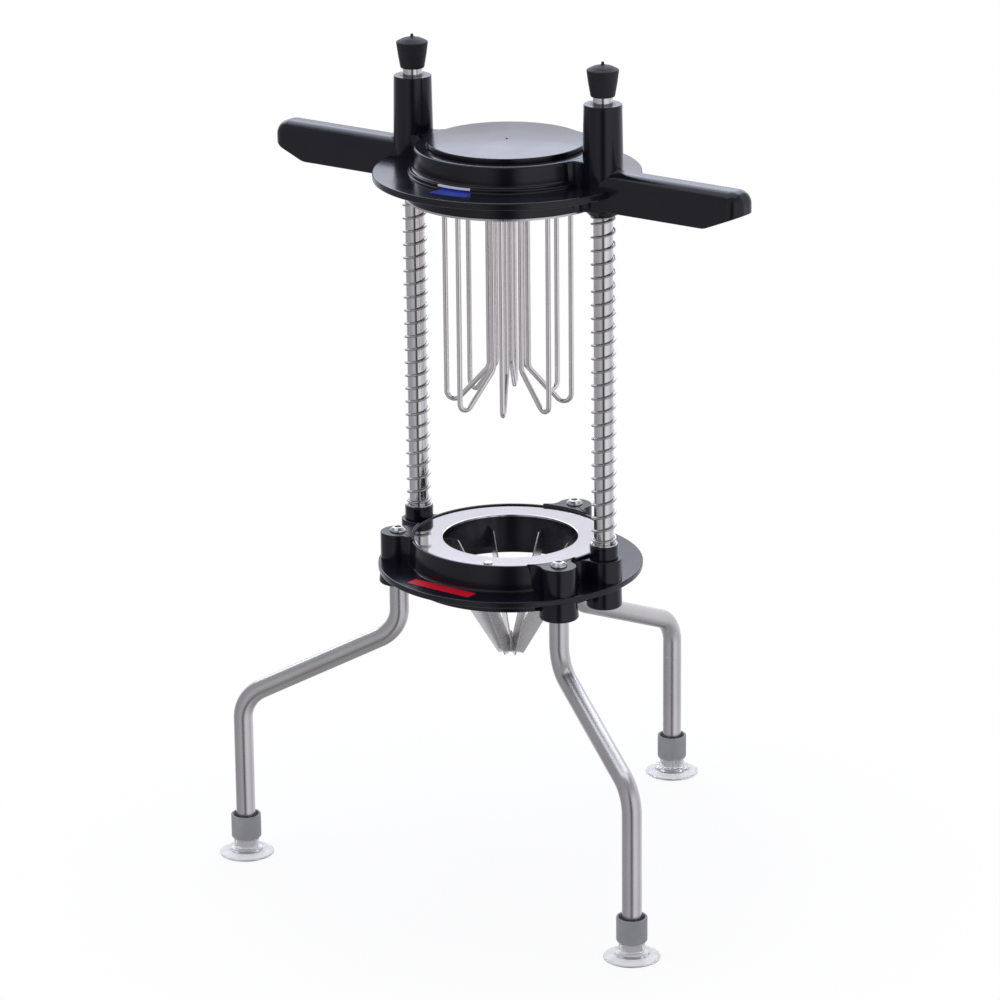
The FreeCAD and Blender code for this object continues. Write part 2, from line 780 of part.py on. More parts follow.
# Guide rods, with their screws, collars, washers, springs and rubber knobs
bushes = (
    ("upper", "dims.sleeve_tube_top - dims.bush_length", "dims.sleeve_tube_top"),
    ("lower", "dims.boss_under", "dims.boss_under + dims.bush_length"),
)
washers, rod_screws = [], []
for side, angle in rod_angles.items():
    rod = revolved(f"{side}_rod_turned", [
        ("dims.rod_screw_shank", "dims.rod_base"),
        ("dims.rod_radius - dims.rod_foot_edge", "dims.rod_base"),
        ("dims.rod_radius", "dims.rod_base + dims.rod_foot_edge"),
        ("dims.rod_radius", "dims.rod_top - dims.rod_top_edge"),
        ("dims.rod_radius - dims.rod_top_edge", "dims.rod_top"),
        ("0", "dims.rod_top"),
        ("0", "dims.rod_base + dims.rod_screw_bore"),
        ("dims.rod_screw_shank", "dims.rod_base + dims.rod_screw_bore"),
    ])
    keep(place(rod, "dims.pitch_radius", angle), f"{side}_guide_rod")
    collar = revolved(f"{side}_collar_turned", [
        ("dims.rod_radius", "dims.rod_boss_top"),
        ("dims.collar_radius", "dims.rod_boss_top"),
        ("dims.collar_radius", "dims.collar_top - dims.collar_edge"),
        ("dims.collar_radius - dims.collar_edge", "dims.collar_top"),
        ("dims.rod_radius", "dims.collar_top"),
    ])
    keep(place(collar, "dims.pitch_radius", angle), f"{side}_spring_collar")
    washer = revolved(f"{side}_washer", [
        ("dims.rod_radius + dims.washer_play", "dims.collar_top"),
        ("dims.washer_radius", "dims.collar_top"),
        ("dims.washer_radius", "dims.collar_top + dims.washer_thick"),
        ("dims.rod_radius + dims.washer_play", "dims.collar_top + dims.washer_thick"),
    ])
    washers.append(place(washer, "dims.pitch_radius", angle, shifted=False))
    screw_seat = "dims.rod_boss_base + dims.rod_screw_recess"
    rod_screw = screw(
        f"{side}_rod_screw", "dims.rod_screw_head", "dims.rod_screw_height", "dims.rod_screw_shank",
        f"dims.rod_base + dims.rod_screw_bore - dims.past - ({screw_seat})", screw_seat, down=False)
    rod_screws.append(place(rod_screw, "dims.pitch_radius", angle, shifted=False))
    knob = revolved(f"{side}_knob", [
        ("dims.rod_radius", "dims.knob_base"),
        ("dims.knob_foot - dims.knob_edge", "dims.knob_base"),
        ("dims.knob_foot", "dims.knob_base + dims.knob_edge"),
        ("dims.knob_waist", "dims.knob_waist_height"),
        ("dims.knob_radius", "dims.knob_shoulder - dims.knob_edge"),
        ("dims.knob_radius - dims.knob_edge", "dims.knob_shoulder"),
        ("dims.knob_crown", "dims.knob_crown_height"),
        ("dims.knob_pip_radius", "dims.knob_dome"),
        ("dims.knob_pip_radius", "dims.knob_pip"),
        ("0", "dims.knob_pip"),
        ("0", "dims.rod_top"),
        ("dims.rod_radius - dims.rod_top_edge", "dims.rod_top"),
        ("dims.rod_radius", "dims.rod_top - dims.rod_top_edge"),
    ])
    keep(place(knob, "dims.pitch_radius", angle), f"{side}_knob_cap")
    for label, low, high in bushes:
        bush = revolved(f"{side}_{label}_turned", [
            ("dims.rod_radius + dims.bush_clearance", low),
            ("dims.bush_radius", low),
            ("dims.bush_radius", high),
            ("dims.rod_radius + dims.bush_clearance", high),
        ])
        keep(place(bush, "dims.pitch_radius", angle), f"{side}_{label}_bush")
keep(place(grouped("washer_pair", washers)), "spring_washers")
keep(place(grouped("rod_screw_pair", rod_screws)), "rod_screws")
wound = spring_shape()
for side, angle in rod_angles.items():
    spring = doc.addObject("Part::Feature", f"{side}_spring")
    spring.Shape = wound
    keep(place(spring, "dims.pitch_radius", angle, turn=0), f"{side}_return_spring")

# Three bent legs, each with its plug and screw, rubber sleeve and suction cup
plugs, leg_screws = [], []
for side, angle in leg_angles.items():
    reach = "dims.rear_reach" if side == "rear" else "dims.front_reach"
    leg = bent_bar(
        f"{side}_tube",
        ("dims.pitch_radius", "dims.leg_top"), (reach, "dims.leg_foot"),
        (("dims.leg_upper_bend", "dims.leg_bend"), ("dims.leg_lower_bend", "dims.leg_bend")),
        (1, -1), "dims.tube_radius", "dims.tube_radius - dims.tube_wall")
    keep(place(leg, "0", angle), f"{side}_leg")
    plug = cylinder(
        f"{side}_plug_blank", "dims.tube_radius - dims.tube_wall",
        "dims.leg_top - dims.plug_length", "dims.leg_top", "dims.pitch_radius", angle)
    plug_bore = cylinder(
        f"{side}_plug_bore", "dims.leg_screw_shank", "dims.leg_top - dims.plug_length - dims.past",
        "dims.leg_top + dims.past", "dims.pitch_radius", angle)
    plugs.append(cut(f"{side}_plug", plug, [plug_bore]))
    leg_screw = screw(
        f"{side}_leg_screw", "dims.leg_screw_head", "dims.leg_screw_height",
        "dims.leg_screw_shank", "dims.leg_screw_length",
        "dims.leg_boss_top - dims.leg_screw_recess")
    leg_screws.append(place(leg_screw, "dims.pitch_radius", angle, shifted=False))
    sleeve = revolved(f"{side}_sleeve_turned", [
        ("dims.tube_radius", "dims.sleeve_base"),
        ("dims.sleeve_radius - dims.sleeve_foot_edge", "dims.sleeve_base"),
        ("dims.sleeve_radius", "dims.sleeve_base + dims.sleeve_foot_edge"),
        ("dims.sleeve_radius", "dims.sleeve_top - dims.sleeve_edge"),
        ("dims.sleeve_radius - dims.sleeve_edge", "dims.sleeve_top"),
        ("dims.sleeve_mouth", "dims.sleeve_top"),
        ("dims.sleeve_mouth", "dims.sleeve_top - dims.sleeve_mouth_depth"),
        ("dims.tube_radius", "dims.sleeve_top - dims.sleeve_mouth_depth"),
    ])
    keep(place(sleeve, reach, angle), f"{side}_foot_sleeve")
    cup = revolved(f"{side}_cup_turned", [
        ("0", "dims.cup_hollow"),
        ("dims.cup_radius - dims.cup_rim", "0"),
        ("dims.cup_radius", "0"),
        ("dims.cup_radius", "dims.cup_edge"),
        ("dims.cup_step", "dims.cup_step_base"),
        ("dims.cup_step", "dims.cup_step_top"),
        ("dims.cup_neck", "dims.cup_neck_base"),
        ("dims.cup_neck", "dims.sleeve_base"),
        ("dims.tube_radius", "dims.sleeve_base"),
        ("dims.tube_radius", "dims.leg_foot"),
        ("0", "dims.leg_foot"),
    ])
    keep(place(cup, reach, angle), f"{side}_suction_cup")
keep(place(grouped("plug_trio", plugs)), "leg_plugs")
keep(place(grouped("leg_screw_trio", leg_screws)), "leg_screws")

# Press head: flanged hub, two handles and two sleeves moulded as one piece
head_flange_base = "dims.head_flange_top - dims.head_flange_thick"
head_core = revolved("head_core", [
    ("dims.hub_well", "dims.head_base"),
    ("dims.head_skirt_radius", "dims.head_base"),
    ("dims.head_skirt_radius", head_flange_base),
    ("dims.head_flange_radius - dims.flange_bevel", head_flange_base),
    ("dims.head_flange_radius", f"{head_flange_base} + dims.flange_bevel"),
    ("dims.head_flange_radius", "dims.head_flange_top - dims.flange_bevel"),
    ("dims.head_flange_radius - dims.flange_bevel", "dims.head_flange_top"),
    ("dims.hub_step_radius + dims.hub_step_edge", "dims.head_flange_top"),
    ("dims.hub_step_radius", "dims.head_flange_top + dims.hub_step_edge"),
    ("dims.hub_step_radius", "dims.hub_step_top"),
    ("dims.hub_radius", "dims.hub_foot"),
    ("dims.hub_radius", "dims.hub_top - dims.hub_bevel"),
    ("dims.hub_radius - dims.hub_bevel * 0.3", "dims.hub_top - dims.hub_bevel * 0.3"),
    ("dims.hub_radius - dims.hub_bevel", "dims.hub_top"),
    ("dims.cover_well", "dims.hub_top"),
    ("dims.cover_well", "dims.cover_seat"),
    ("dims.hub_well", "dims.cover_seat"),
])


def handle_arm(name):
    """A handle: a straight bar whose underside rises to the tip, with rounded upper edges."""
    body = new_body(name)
    sketch = outline(new_sketch(body, "XZ_Plane", "side"), [
        ("dims.arm_root", "dims.arm_base"),
        ("dims.arm_undercut", "dims.arm_base"),
        ("dims.arm_tip", "dims.arm_tip_base"),
        ("dims.arm_tip", "dims.arm_top"),
        ("dims.arm_root", "dims.arm_top"),
    ])
    padded(body, sketch, "dims.arm_half_width * 2")
    tip, top = size("dims.arm_tip"), size("dims.arm_top")
    half = size("dims.arm_half_width")

    def outer_edge(edge):
        middle = edge.CenterOfMass
        long_top = abs(middle.z - top) < 0.01 and abs(abs(middle.y) - half) < 0.01
        tip_top = abs(middle.z - top) < 0.01 and abs(middle.x - tip) < 0.01
        tip_side = abs(middle.x - tip) < 0.01 and abs(abs(middle.y) - half) < 0.01
        return long_top or tip_top or tip_side

    return dress(body, "Fillet", "dims.arm_round", outer_edge)


head_pieces = [head_core]
head_tools = []
for side, angle in rod_angles.items():
    head_pieces.append(place(handle_arm(f"{side}_arm"), "0", angle, shifted=False))
    tube = revolved(f"{side}_head_sleeve", [
        ("0", "dims.boss_under"),
        ("dims.boss_under_radius - dims.boss_under_edge", "dims.boss_under"),
        ("dims.boss_under_radius", "dims.boss_under + dims.boss_under_edge"),
        ("dims.boss_root_radius", "dims.boss_root_height"),
        ("dims.boss_root_radius", "dims.sleeve_tube_low"),
        ("dims.sleeve_tube_foot", "dims.sleeve_tube_waist"),
        ("dims.sleeve_tube_radius", "dims.sleeve_tube_top - dims.sleeve_tube_edge"),
        ("dims.sleeve_tube_radius - dims.sleeve_tube_edge", "dims.sleeve_tube_top"),
        ("0", "dims.sleeve_tube_top"),
    ])
    head_pieces.append(place(tube, "dims.pitch_radius", angle, shifted=False))
    for label, wall, boss, low, high in (
        ("hub", "dims.hub_radius", "dims.sleeve_tube_foot", "dims.head_flange_top - dims.past",
         "dims.hub_top - dims.hub_bevel"),
        ("skirt", "dims.head_skirt_radius", "dims.boss_root_radius", "dims.head_base",
         "dims.head_flange_top - dims.past"),
    ):
        web = flared_web(f"{side}_{label}_web", wall, boss, low, high)
        head_pieces.append(place(web, "0", angle, shifted=False))
    head_tools.append(cylinder(
        f"{side}_sleeve_bore", "dims.bush_radius", "dims.boss_under - dims.past",
        "dims.sleeve_tube_top + dims.past",
        "dims.pitch_radius", angle))
for number in range(4):
    head_tools.append(cylinder(
        f"pusher_screw_hole_{number + 1}", "dims.pusher_screw_shank", "dims.head_base - dims.past",
        "dims.head_base + dims.pusher_screw_depth", "dims.pusher_screw_pitch",
        blade_angle + 90 * number))
head = cut("head_cut", fused("head_solid", head_pieces), head_tools)
keep(place(head), "press_head")

cover = revolved("cover", [
    ("0", "dims.cover_top + dims.cover_crown - dims.cover_thick"),
    ("dims.hub_well - dims.cover_lip", "dims.cover_top - dims.cover_thick"),
    ("dims.hub_well - dims.cover_lip", "dims.cover_seat"),
    ("dims.cover_radius", "dims.cover_seat"),
    ("dims.cover_radius", "dims.cover_top - dims.cover_edge"),
    ("dims.cover_radius - dims.cover_edge", "dims.cover_top"),
    ("dims.cover_middle", "dims.cover_top + dims.cover_middle_rise"),
    ("dims.cover_pip", "dims.cover_top + dims.cover_crown"),
    ("dims.cover_pip", "dims.cover_top + dims.cover_crown + dims.cover_pip_rise"),
    ("0", "dims.cover_top + dims.cover_crown + dims.cover_pip_rise"),
])
keep(place(cover), "head_cover")

# Pusher: a steel plate under the head, its screws, and eight bent wire fingers
pusher_disc = cylinder("pusher_disc", "dims.head_skirt_radius", "dims.head_base - dims.pusher_thick",
                       "dims.head_base")
pusher_holes, pusher_screws = [], []
for side, angle in rod_angles.items():
    pusher_holes.append(cylinder(
        f"{side}_boss_notch", "dims.boss_root_radius + dims.screw_play",
        "dims.head_base - dims.pusher_thick - dims.past", "dims.head_base + dims.past",
        "dims.pitch_radius", angle))
for number in range(4):
    angle = blade_angle + 90 * number
    pusher_holes.append(cylinder(
        f"pusher_plate_hole_{number + 1}", "dims.pusher_screw_shank",
        "dims.head_base - dims.pusher_thick - dims.past", "dims.head_base + dims.past",
        "dims.pusher_screw_pitch", angle))
    pusher_screw = screw(
        f"pusher_screw_{number + 1}", "dims.pusher_screw_head", "dims.pusher_screw_height",
        "dims.pusher_screw_shank", "dims.pusher_screw_depth", "dims.head_base - dims.pusher_thick",
        down=False)
    pusher_screws.append(place(pusher_screw, "dims.pusher_screw_pitch", angle, shifted=False))
keep(place(cut("pusher_cut", pusher_disc, pusher_holes)), "pusher_plate")
keep(place(grouped("pusher_screw_set", pusher_screws)), "pusher_screws")
plate_under = "dims.head_base - dims.pusher_thick"
low_bend = "dims.finger_bottom + dims.finger_radius + dims.finger_bend"
for number in range(blade_count):
    finger = bent_bar(
        f"finger_{number + 1}_wire",
        ("dims.finger_outer", plate_under), ("dims.finger_inner", plate_under),
        ((low_bend, "dims.finger_bend"), ("dims.finger_neck", "dims.finger_neck_bend")),
        (-1, -1), "dims.finger_radius")
    keep(place(finger, "0", finger_angle + number * 360 / blade_count), f"pusher_finger_{number + 1}")

# Check every object, then write one file for each sub-part
doc.recompute()
faults = [item.Name for item in doc.Objects if {"Invalid", "Error"} & set(item.State)]
for name, item in subparts.items():
    if item.Shape.isNull() or not item.Shape.isValid() or item.Shape.Volume <= 0:
        faults.append(name)
if faults:
    raise RuntimeError(f"faulty objects: {faults}")
for name, item in subparts.items():
    item.Shape.exportStep(f"parts/{name}.step")
    print(f"{name}: {len(item.Shape.Solids)} solid, {item.Shape.Volume / 1000:.2f} cm3")
print(f"{len(subparts)} sub-parts written")
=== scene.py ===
import math
import bmesh
import bpy
import numpy as np
from mathutils import Matrix, Vector


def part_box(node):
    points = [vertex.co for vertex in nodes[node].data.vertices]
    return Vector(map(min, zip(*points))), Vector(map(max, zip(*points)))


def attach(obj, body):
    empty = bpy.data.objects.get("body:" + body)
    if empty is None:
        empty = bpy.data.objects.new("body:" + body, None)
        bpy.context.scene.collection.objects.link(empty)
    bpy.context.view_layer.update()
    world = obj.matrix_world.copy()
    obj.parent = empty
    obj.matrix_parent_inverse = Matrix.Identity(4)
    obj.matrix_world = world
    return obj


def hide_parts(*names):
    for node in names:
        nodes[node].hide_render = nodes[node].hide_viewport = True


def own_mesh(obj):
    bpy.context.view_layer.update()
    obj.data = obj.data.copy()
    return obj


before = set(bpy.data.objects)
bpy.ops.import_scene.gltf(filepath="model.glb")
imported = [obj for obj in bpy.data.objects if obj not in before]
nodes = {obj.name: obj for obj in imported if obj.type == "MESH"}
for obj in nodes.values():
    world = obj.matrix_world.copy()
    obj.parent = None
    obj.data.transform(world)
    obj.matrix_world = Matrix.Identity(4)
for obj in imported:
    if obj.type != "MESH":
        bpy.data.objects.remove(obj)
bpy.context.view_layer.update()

metre = 1000.0  # all shapes below are worked out in millimetres


def middleOf(node):
    low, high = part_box(node)
    return np.array((low + high) / 2) * metre


def heightsOf(node):
    low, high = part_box(node)
    return low.z * metre, high.z * metre


# Places that every piece hangs on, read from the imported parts
pressAxis = middleOf("blade_plate")[:2]
rodPlaces = {side: middleOf(f"{side}_guide_rod")[:2] for side in ("left", "right")}
footPlaces = {side: middleOf(f"{side}_foot_sleeve")[:2]
              for side in ("front_left", "front_right", "rear")}
pitchRadius = np.linalg.norm(rodPlaces["right"] - pressAxis)
overlap = 1.0  # how far the shapes of one piece run into each other, out of sight


def directionTo(place):
    away = place - pressAxis
    return math.atan2(away[1], away[0])


def onPitchCircle(angle):
    return pressAxis + pitchRadius * np.array((math.cos(angle), math.sin(angle)))


rodAngles = {side: directionTo(place) for side, place in rodPlaces.items()}
legAngles = {side: directionTo(place) for side, place in footPlaces.items()}
print("frame loaded, press axis at", pressAxis.round(2))


# Shapes: each is a grid of points, rows by columns, with a matching grid of surface lengths

def together(*parts):
    # Arrays joined on a new last axis, each first spread over the whole grid
    return np.stack(np.broadcast_arrays(*parts), axis=-1)


def arcOf(centre, radius, fromAngle, toAngle, steps):
    # Arc in a plane: centre + radius * (cos(angle), sin(angle))
    angle = np.linspace(fromAngle, toAngle, steps + 1)
    return np.asarray(centre) + radius * together(np.cos(angle), np.sin(angle))


def softened(corners, closed=False, steps=6, guard=0.1):
    # Profile with rounded corners. A corner (across, up, rounding) is cut back along both of its
    # sides by rounding / tan(half angle), and an arc about
    # corner + bisector * rounding / sin(half angle) joins the cuts
    count = len(corners)
    points = []
    for number, (across, up, rounding) in enumerate(corners):
        here = np.array((across, up), float)
        inner = closed or 0 < number < count - 1
        if not inner or rounding <= 0:
            points.append(here[None])
            continue
        before = np.array(corners[number - 1][:2], float) - here
        after = np.array(corners[(number + 1) % count][:2], float) - here
        before /= np.linalg.norm(before)
        after /= np.linalg.norm(after)
        half = math.acos(float(np.clip(before @ after, -1, 1))) / 2
        cutBack = rounding / math.tan(half)
        bisector = (before + after) / np.linalg.norm(before + after)
        centre = here + bisector * rounding / math.sin(half)
        fromAngle = math.atan2(*(here + before * cutBack - centre)[::-1])
        toAngle = math.atan2(*(here + after * cutBack - centre)[::-1])
        sweep = (toAngle - fromAngle + math.pi) % (2 * math.pi) - math.pi
        arc = arcOf(centre, rounding, fromAngle, fromAngle + sweep, steps)
        points.append(np.vstack((arc[0] + before * guard, arc, arc[-1] + after * guard)))
    profile = np.vstack(points)
    return np.vstack((profile, profile[:1])) if closed else profile


def lengthsAlong(points):
    # Running length of a line of points
    steps = np.linalg.norm(np.diff(points, axis=0), axis=1)
    return np.concatenate(([0.0], np.cumsum(steps)))


def turned(profile, place, sides):
    # Surface of revolution: place + radius * (cos(angle), sin(angle)), height
    angle = np.linspace(0, 2 * math.pi, sides + 1)[None]
    radius, height = profile[:, :1], profile[:, 1:]
    points = together(place[0] + radius * np.cos(angle), place[1] + radius * np.sin(angle), height)
    return points, together(angle * profile[:, 0].max(), lengthsAlong(profile)[:, None])


def lathe(corners, place, sides=72):
    # A profile with rounded corners, turned about an upright axis. It is closed where it has a bore
    return turned(softened(corners, closed=corners[0][0] > 0), place, sides)


def ringCorners(look, low, high):
    # Corners of a plain ring or rod, with the roundings of its edges in turn from the lower edge
    # of its bore
    reach = (look["bore"], look["radius"], look["radius"], look["bore"])
    return list(zip(reach, (low, low, high, high), look["edges"]))


def tube(path, side, radius, sides, endRound):
    # Round bar along a path: path + radius * (cos(angle) * side + sin(angle) * up), closed by a
    # point at each end, with the end edges taken off by endRound
    tangent = np.gradient(path, axis=0)
    tangent /= np.linalg.norm(tangent, axis=1, keepdims=True)
    side = np.broadcast_to(side, path.shape)
    up = np.cross(tangent, side)
    up /= np.linalg.norm(up, axis=1, keepdims=True)
    first, last = path[0], path[-1]
    line = np.vstack((first, first, first + tangent[0] * endRound, path[1:-1],
                      last - tangent[-1] * endRound, last, last))
    reach = np.full(len(line), float(radius))
    reach[[0, -1]] = 0
    reach[[1, -2]] = radius - endRound
    rows = [0, 0, *range(len(path)), -1, -1]
    side, up = side[rows, None], up[rows, None]
    angle = np.linspace(0, 2 * math.pi, sides + 1)[:, None]
    points = line[:, None] + reach[:, None, None] * (np.cos(angle) * side + np.sin(angle) * up)
    return points, together(angle.T * radius, lengthsAlong(line)[:, None])


def column(outline, rows):
    # Upright shell over a closed plan: each row (height, inset) is the plan moved inwards along
    # its own normal by inset, and the first and last rows are drawn together to a point
    along = np.roll(outline, -1, axis=0) - np.roll(outline, 1, axis=0)
    along /= np.linalg.norm(along, axis=1, keepdims=True)
    outward = along[:, ::-1] * (1, -1)
    rings = [np.column_stack((outline - outward * inset, np.full(len(outline), height)))
             for height, inset in rows]

    def drawnIn(ring, share):
        middle = np.append(outline.mean(axis=0), ring[0, 2])
        return middle + (ring - middle) * share

    rings = [drawnIn(rings[0], 0), drawnIn(rings[0], 0.5), *rings,
             drawnIn(rings[-1], 0.5), drawnIn(rings[-1], 0)]
    points = np.stack([np.vstack((ring, ring[:1])) for ring in rings])
    return points, together(lengthsAlong(points[3])[None], lengthsAlong(points[:, 0])[:, None])


def rotatedPlan(points, angle):
    # Plan points turned about the press axis, which is their own (0, 0)
    turn = np.array(((math.cos(angle), math.sin(angle)), (-math.sin(angle), math.cos(angle))))
    return points @ turn + pressAxis


sharpAngle = 34  # degrees between faces, past which an edge is shaded as a sharp one


def newObject(name, data):
    item = bpy.data.objects.new(name, data)
    bpy.context.scene.collection.objects.link(item)
    return item


def addPiece(name, grids, material, body, slotName, *replaced):
    # One mesh from grids: each four neighbours make a face, and points that meet are joined
    corners, wraps, faces, first = [], [], [], 0
    for points, lengths in grids:
        rows, columns = points.shape[:2]
        row, step = np.meshgrid(np.arange(rows - 1), np.arange(columns - 1), indexing="ij")
        corner = (row * columns + step).ravel() + first
        faces.append(np.stack(
            (corner, corner + 1, corner + columns + 1, corner + columns), axis=1))
        corners.append(points.reshape(-1, 3) / metre)
        wraps.append(lengths.reshape(-1, 2) / metre)
        first += rows * columns
    mesh = bpy.data.meshes.new(name)
    mesh.from_pydata(np.vstack(corners).tolist(), [], np.vstack(faces).tolist())
    wrap = mesh.uv_layers.new(name="along")
    usedBy = np.empty(len(mesh.loops), np.int64)
    mesh.loops.foreach_get("vertex_index", usedBy)
    wrap.data.foreach_set("uv", np.vstack(wraps)[usedBy].astype(np.float32).ravel())
    worked = bmesh.new()
    worked.from_mesh(mesh)
    bmesh.ops.remove_doubles(worked, verts=worked.verts, dist=1e-6)
    bmesh.ops.recalc_face_normals(worked, faces=worked.faces)
    worked.to_mesh(mesh)
    worked.free()
    mesh.polygons.foreach_set("use_smooth", np.ones(len(mesh.polygons), bool))
    mesh.set_sharp_from_angle(angle=math.radians(sharpAngle))
    mesh.materials.append(material)
    piece = newObject(name, mesh)
    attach(piece, body)
    if replaced:
        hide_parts(*replaced)
    return piece


# Effects shared by the materials

firstColour, secondColour, mixedColour = 6, 7, 2  # sockets of a Mix node that mixes colours


def newNode(tree, kind, values=None, **settings):
    node = tree.nodes.new(f"ShaderNode{kind}")
    for label, value in settings.items():
        setattr(node, label, value)
    for label, value in (values or {}).items():
        node.inputs[label].default_value = value
    return node


def wire(tree, *joins):
    # Each join is (node, output, node, input)
    for source, output, target, label in joins:
        tree.links.new(source.outputs[output], target.inputs[label])


def rangeNode(tree, low, high):
    return newNode(tree, "MapRange", {"From Min": low, "From Max": high})


def newGroup(name, inputs, outputs):
    # A node group that takes a Vector and the inputs. A default says what its input is: a number,
    # three for a vector, four for a colour
    tree = bpy.data.node_groups.new(name, "ShaderNodeTree")
    kinds = {1: "NodeSocketFloat", 3: "NodeSocketVector", 4: "NodeSocketColor"}
    for label, default in {"Vector": (0, 0, 0), **inputs}.items():
        socket = tree.interface.new_socket(label, in_out="INPUT", socket_type=kinds[np.size(default)])
        socket.default_value = default
    for label in outputs:
        kind = kinds[4 if label == "Colour" else 1]
        tree.interface.new_socket(label, in_out="OUTPUT", socket_type=kind)
    return tree, tree.nodes.new("NodeGroupInput"), tree.nodes.new("NodeGroupOutput")


def spreadNoise(tree, given, out, noise, low, high):
    # The noise itself is the height, and spread between Low and High it is the value
    spread = rangeNode(tree, low, high)
    wire(tree, (noise, "Fac", out, "Height"), (noise, "Fac", spread, "Value"),
         (given, "Low", spread, "To Min"), (given, "High", spread, "To Max"),
         (spread, "Result", out, "Value"))


def makeGrain():
    # Fine even grain: noise of one size
    tree, given, out = newGroup("grain", {"Fineness": 900.0, "Low": 0.0, "High": 1.0},
                                ("Value", "Height"))
    noise = newNode(tree, "TexNoise", {"Detail": 3, "Roughness": 0.5})
    wire(tree, (given, "Vector", noise, "Vector"), (given, "Fineness", noise, "Scale"))
    spreadNoise(tree, given, out, noise, 0.3, 0.7)
    return tree


def makeStreaks():
    # Drawn or brushed lines: noise on coordinates stretched by Stretch, so that it runs in lines
    tree, given, out = newGroup("streaks", {
        "Stretch": (900.0, 12.0, 1.0), "Low": 0.0, "High": 1.0}, ("Value", "Height"))
    stretched = newNode(tree, "VectorMath", operation="MULTIPLY")
    noise = newNode(tree, "TexNoise", {"Scale": 1.0, "Detail": 4, "Roughness": 0.6})
    wire(tree, (given, "Vector", stretched, 0), (given, "Stretch", stretched, 1),
         (stretched, "Vector", noise, "Vector"))
    spreadNoise(tree, given, out, noise, 0.32, 0.68)
    return tree


def makeTone():
    # Slow change of colour over a surface: two colours mixed by broad noise
    tree, given, out = newGroup("tone", {
        "Breadth": 14.0, "Plain": (0.5, 0.5, 0.5, 1), "Varied": (0.4, 0.4, 0.4, 1)}, ("Colour",))
    noise = newNode(tree, "TexNoise", {"Detail": 5, "Roughness": 0.55})
    spread = rangeNode(tree, 0.35, 0.65)
    blend = newNode(tree, "Mix", data_type="RGBA")
    wire(tree, (given, "Vector", noise, "Vector"), (given, "Breadth", noise, "Scale"),
         (noise, "Fac", spread, "Value"), (spread, "Result", blend, 0),
         (given, "Plain", blend, firstColour), (given, "Varied", blend, secondColour),
         (blend, mixedColour, out, "Colour"))
    return tree


def makeSpecks():
    # Scattered small pits: cells whose middle lies nearer than Size, times Share
    tree, given, out = newGroup("specks", {"Closeness": 300.0, "Size": 0.12, "Share": 0.5},
                                ("Mask",))
    cells = newNode(tree, "TexVoronoi")
    near = newNode(tree, "Math", operation="LESS_THAN")
    strength = newNode(tree, "Math", operation="MULTIPLY")
    wire(tree, (given, "Vector", cells, "Vector"), (given, "Closeness", cells, "Scale"),
         (cells, "Distance", near, 0), (given, "Size", near, 1), (near, "Value", strength, 0),
         (given, "Share", strength, 1), (strength, "Value", out, "Mask"))
    return tree


grain, streaks, tone, specks = makeGrain(), makeStreaks(), makeTone(), makeSpecks()
print("shared effects made")


# Materials: the wiring that all share, and one short function for each finish

class Finish:
    def __init__(self, name, settings):
        self.material = bpy.data.materials.new(name)
        self.material.use_nodes = True
        self.tree = self.material.node_tree
        self.shader = self.tree.nodes["Principled BSDF"]
        for label, value in settings.items():
            self.shader.inputs[label].default_value = value
        self.places = newNode(self.tree, "TexCoord")

    def effect(self, group, where="Object", **values):
        node = newNode(self.tree, "Group", values, node_tree=group)
        wire(self.tree, (self.places, where, node, "Vector"))
        return node

    def colour(self, breadth, plain, varied):
        node = self.effect(tone, Breadth=breadth, Plain=(*plain, 1), Varied=(*varied, 1))
        wire(self.tree, (node, "Colour", self.shader, "Base Color"))

    def gloss(self, fineness, smooth, rough):
        node = self.effect(grain, Fineness=fineness, Low=smooth, High=rough)
        wire(self.tree, (node, "Value", self.shader, "Roughness"))

    def bump(self, node, output, strength, depth, below=None):
        bumps = newNode(self.tree, "Bump", {"Strength": strength, "Distance": depth})
        wire(self.tree, (node, output, bumps, "Height"), (bumps, "Normal", self.shader, "Normal"))
        if below:
            wire(self.tree, (below, "Normal", bumps, "Normal"))
        return bumps

    def grainBump(self, fineness, strength, depth, below=None):
        return self.bump(self.effect(grain, Fineness=fineness), "Height", strength, depth, below)


def makeMoulding():
    # Blue-black injection moulding with a soft sheen and a faint orange peel
    finish = Finish("blackMoulding", {"IOR": 1.5, "Specular IOR Level": 0.36})
    finish.colour(16.0, plain=(0.0046, 0.0042, 0.0092), varied=(0.0062, 0.0058, 0.0112))
    finish.gloss(34.0, smooth=0.15, rough=0.22)
    peel = finish.grainBump(420.0, strength=0.35, depth=0.00004)
    finish.grainBump(3200.0, strength=0.2, depth=0.00001, below=peel)
    return finish.material


def makeKnobRubber():
    # Matte rubber with a fine grain
    finish = Finish("knobRubber", {"IOR": 1.5, "Specular IOR Level": 0.35})
    finish.colour(60.0, plain=(0.011, 0.011, 0.014), varied=(0.015, 0.015, 0.018))
    finish.gloss(500.0, smooth=0.5, rough=0.64)
    finish.grainBump(1500.0, strength=0.4, depth=0.00008)
    return finish.material


def makeGreyRubber():
    # Grey sleeve rubber: matte, slightly mottled, with small pits
    finish = Finish("greyRubber", {"IOR": 1.5})
    finish.colour(90.0, plain=(0.275, 0.275, 0.275), varied=(0.315, 0.315, 0.315))
    finish.gloss(700.0, smooth=0.55, rough=0.72)
    pits = finish.effect(specks, Closeness=700.0, Size=0.2, Share=-1.0)
    pitted = finish.bump(pits, "Mask", strength=0.3, depth=0.00005)
    finish.grainBump(1800.0, strength=0.4, depth=0.00006, below=pitted)
    return finish.material


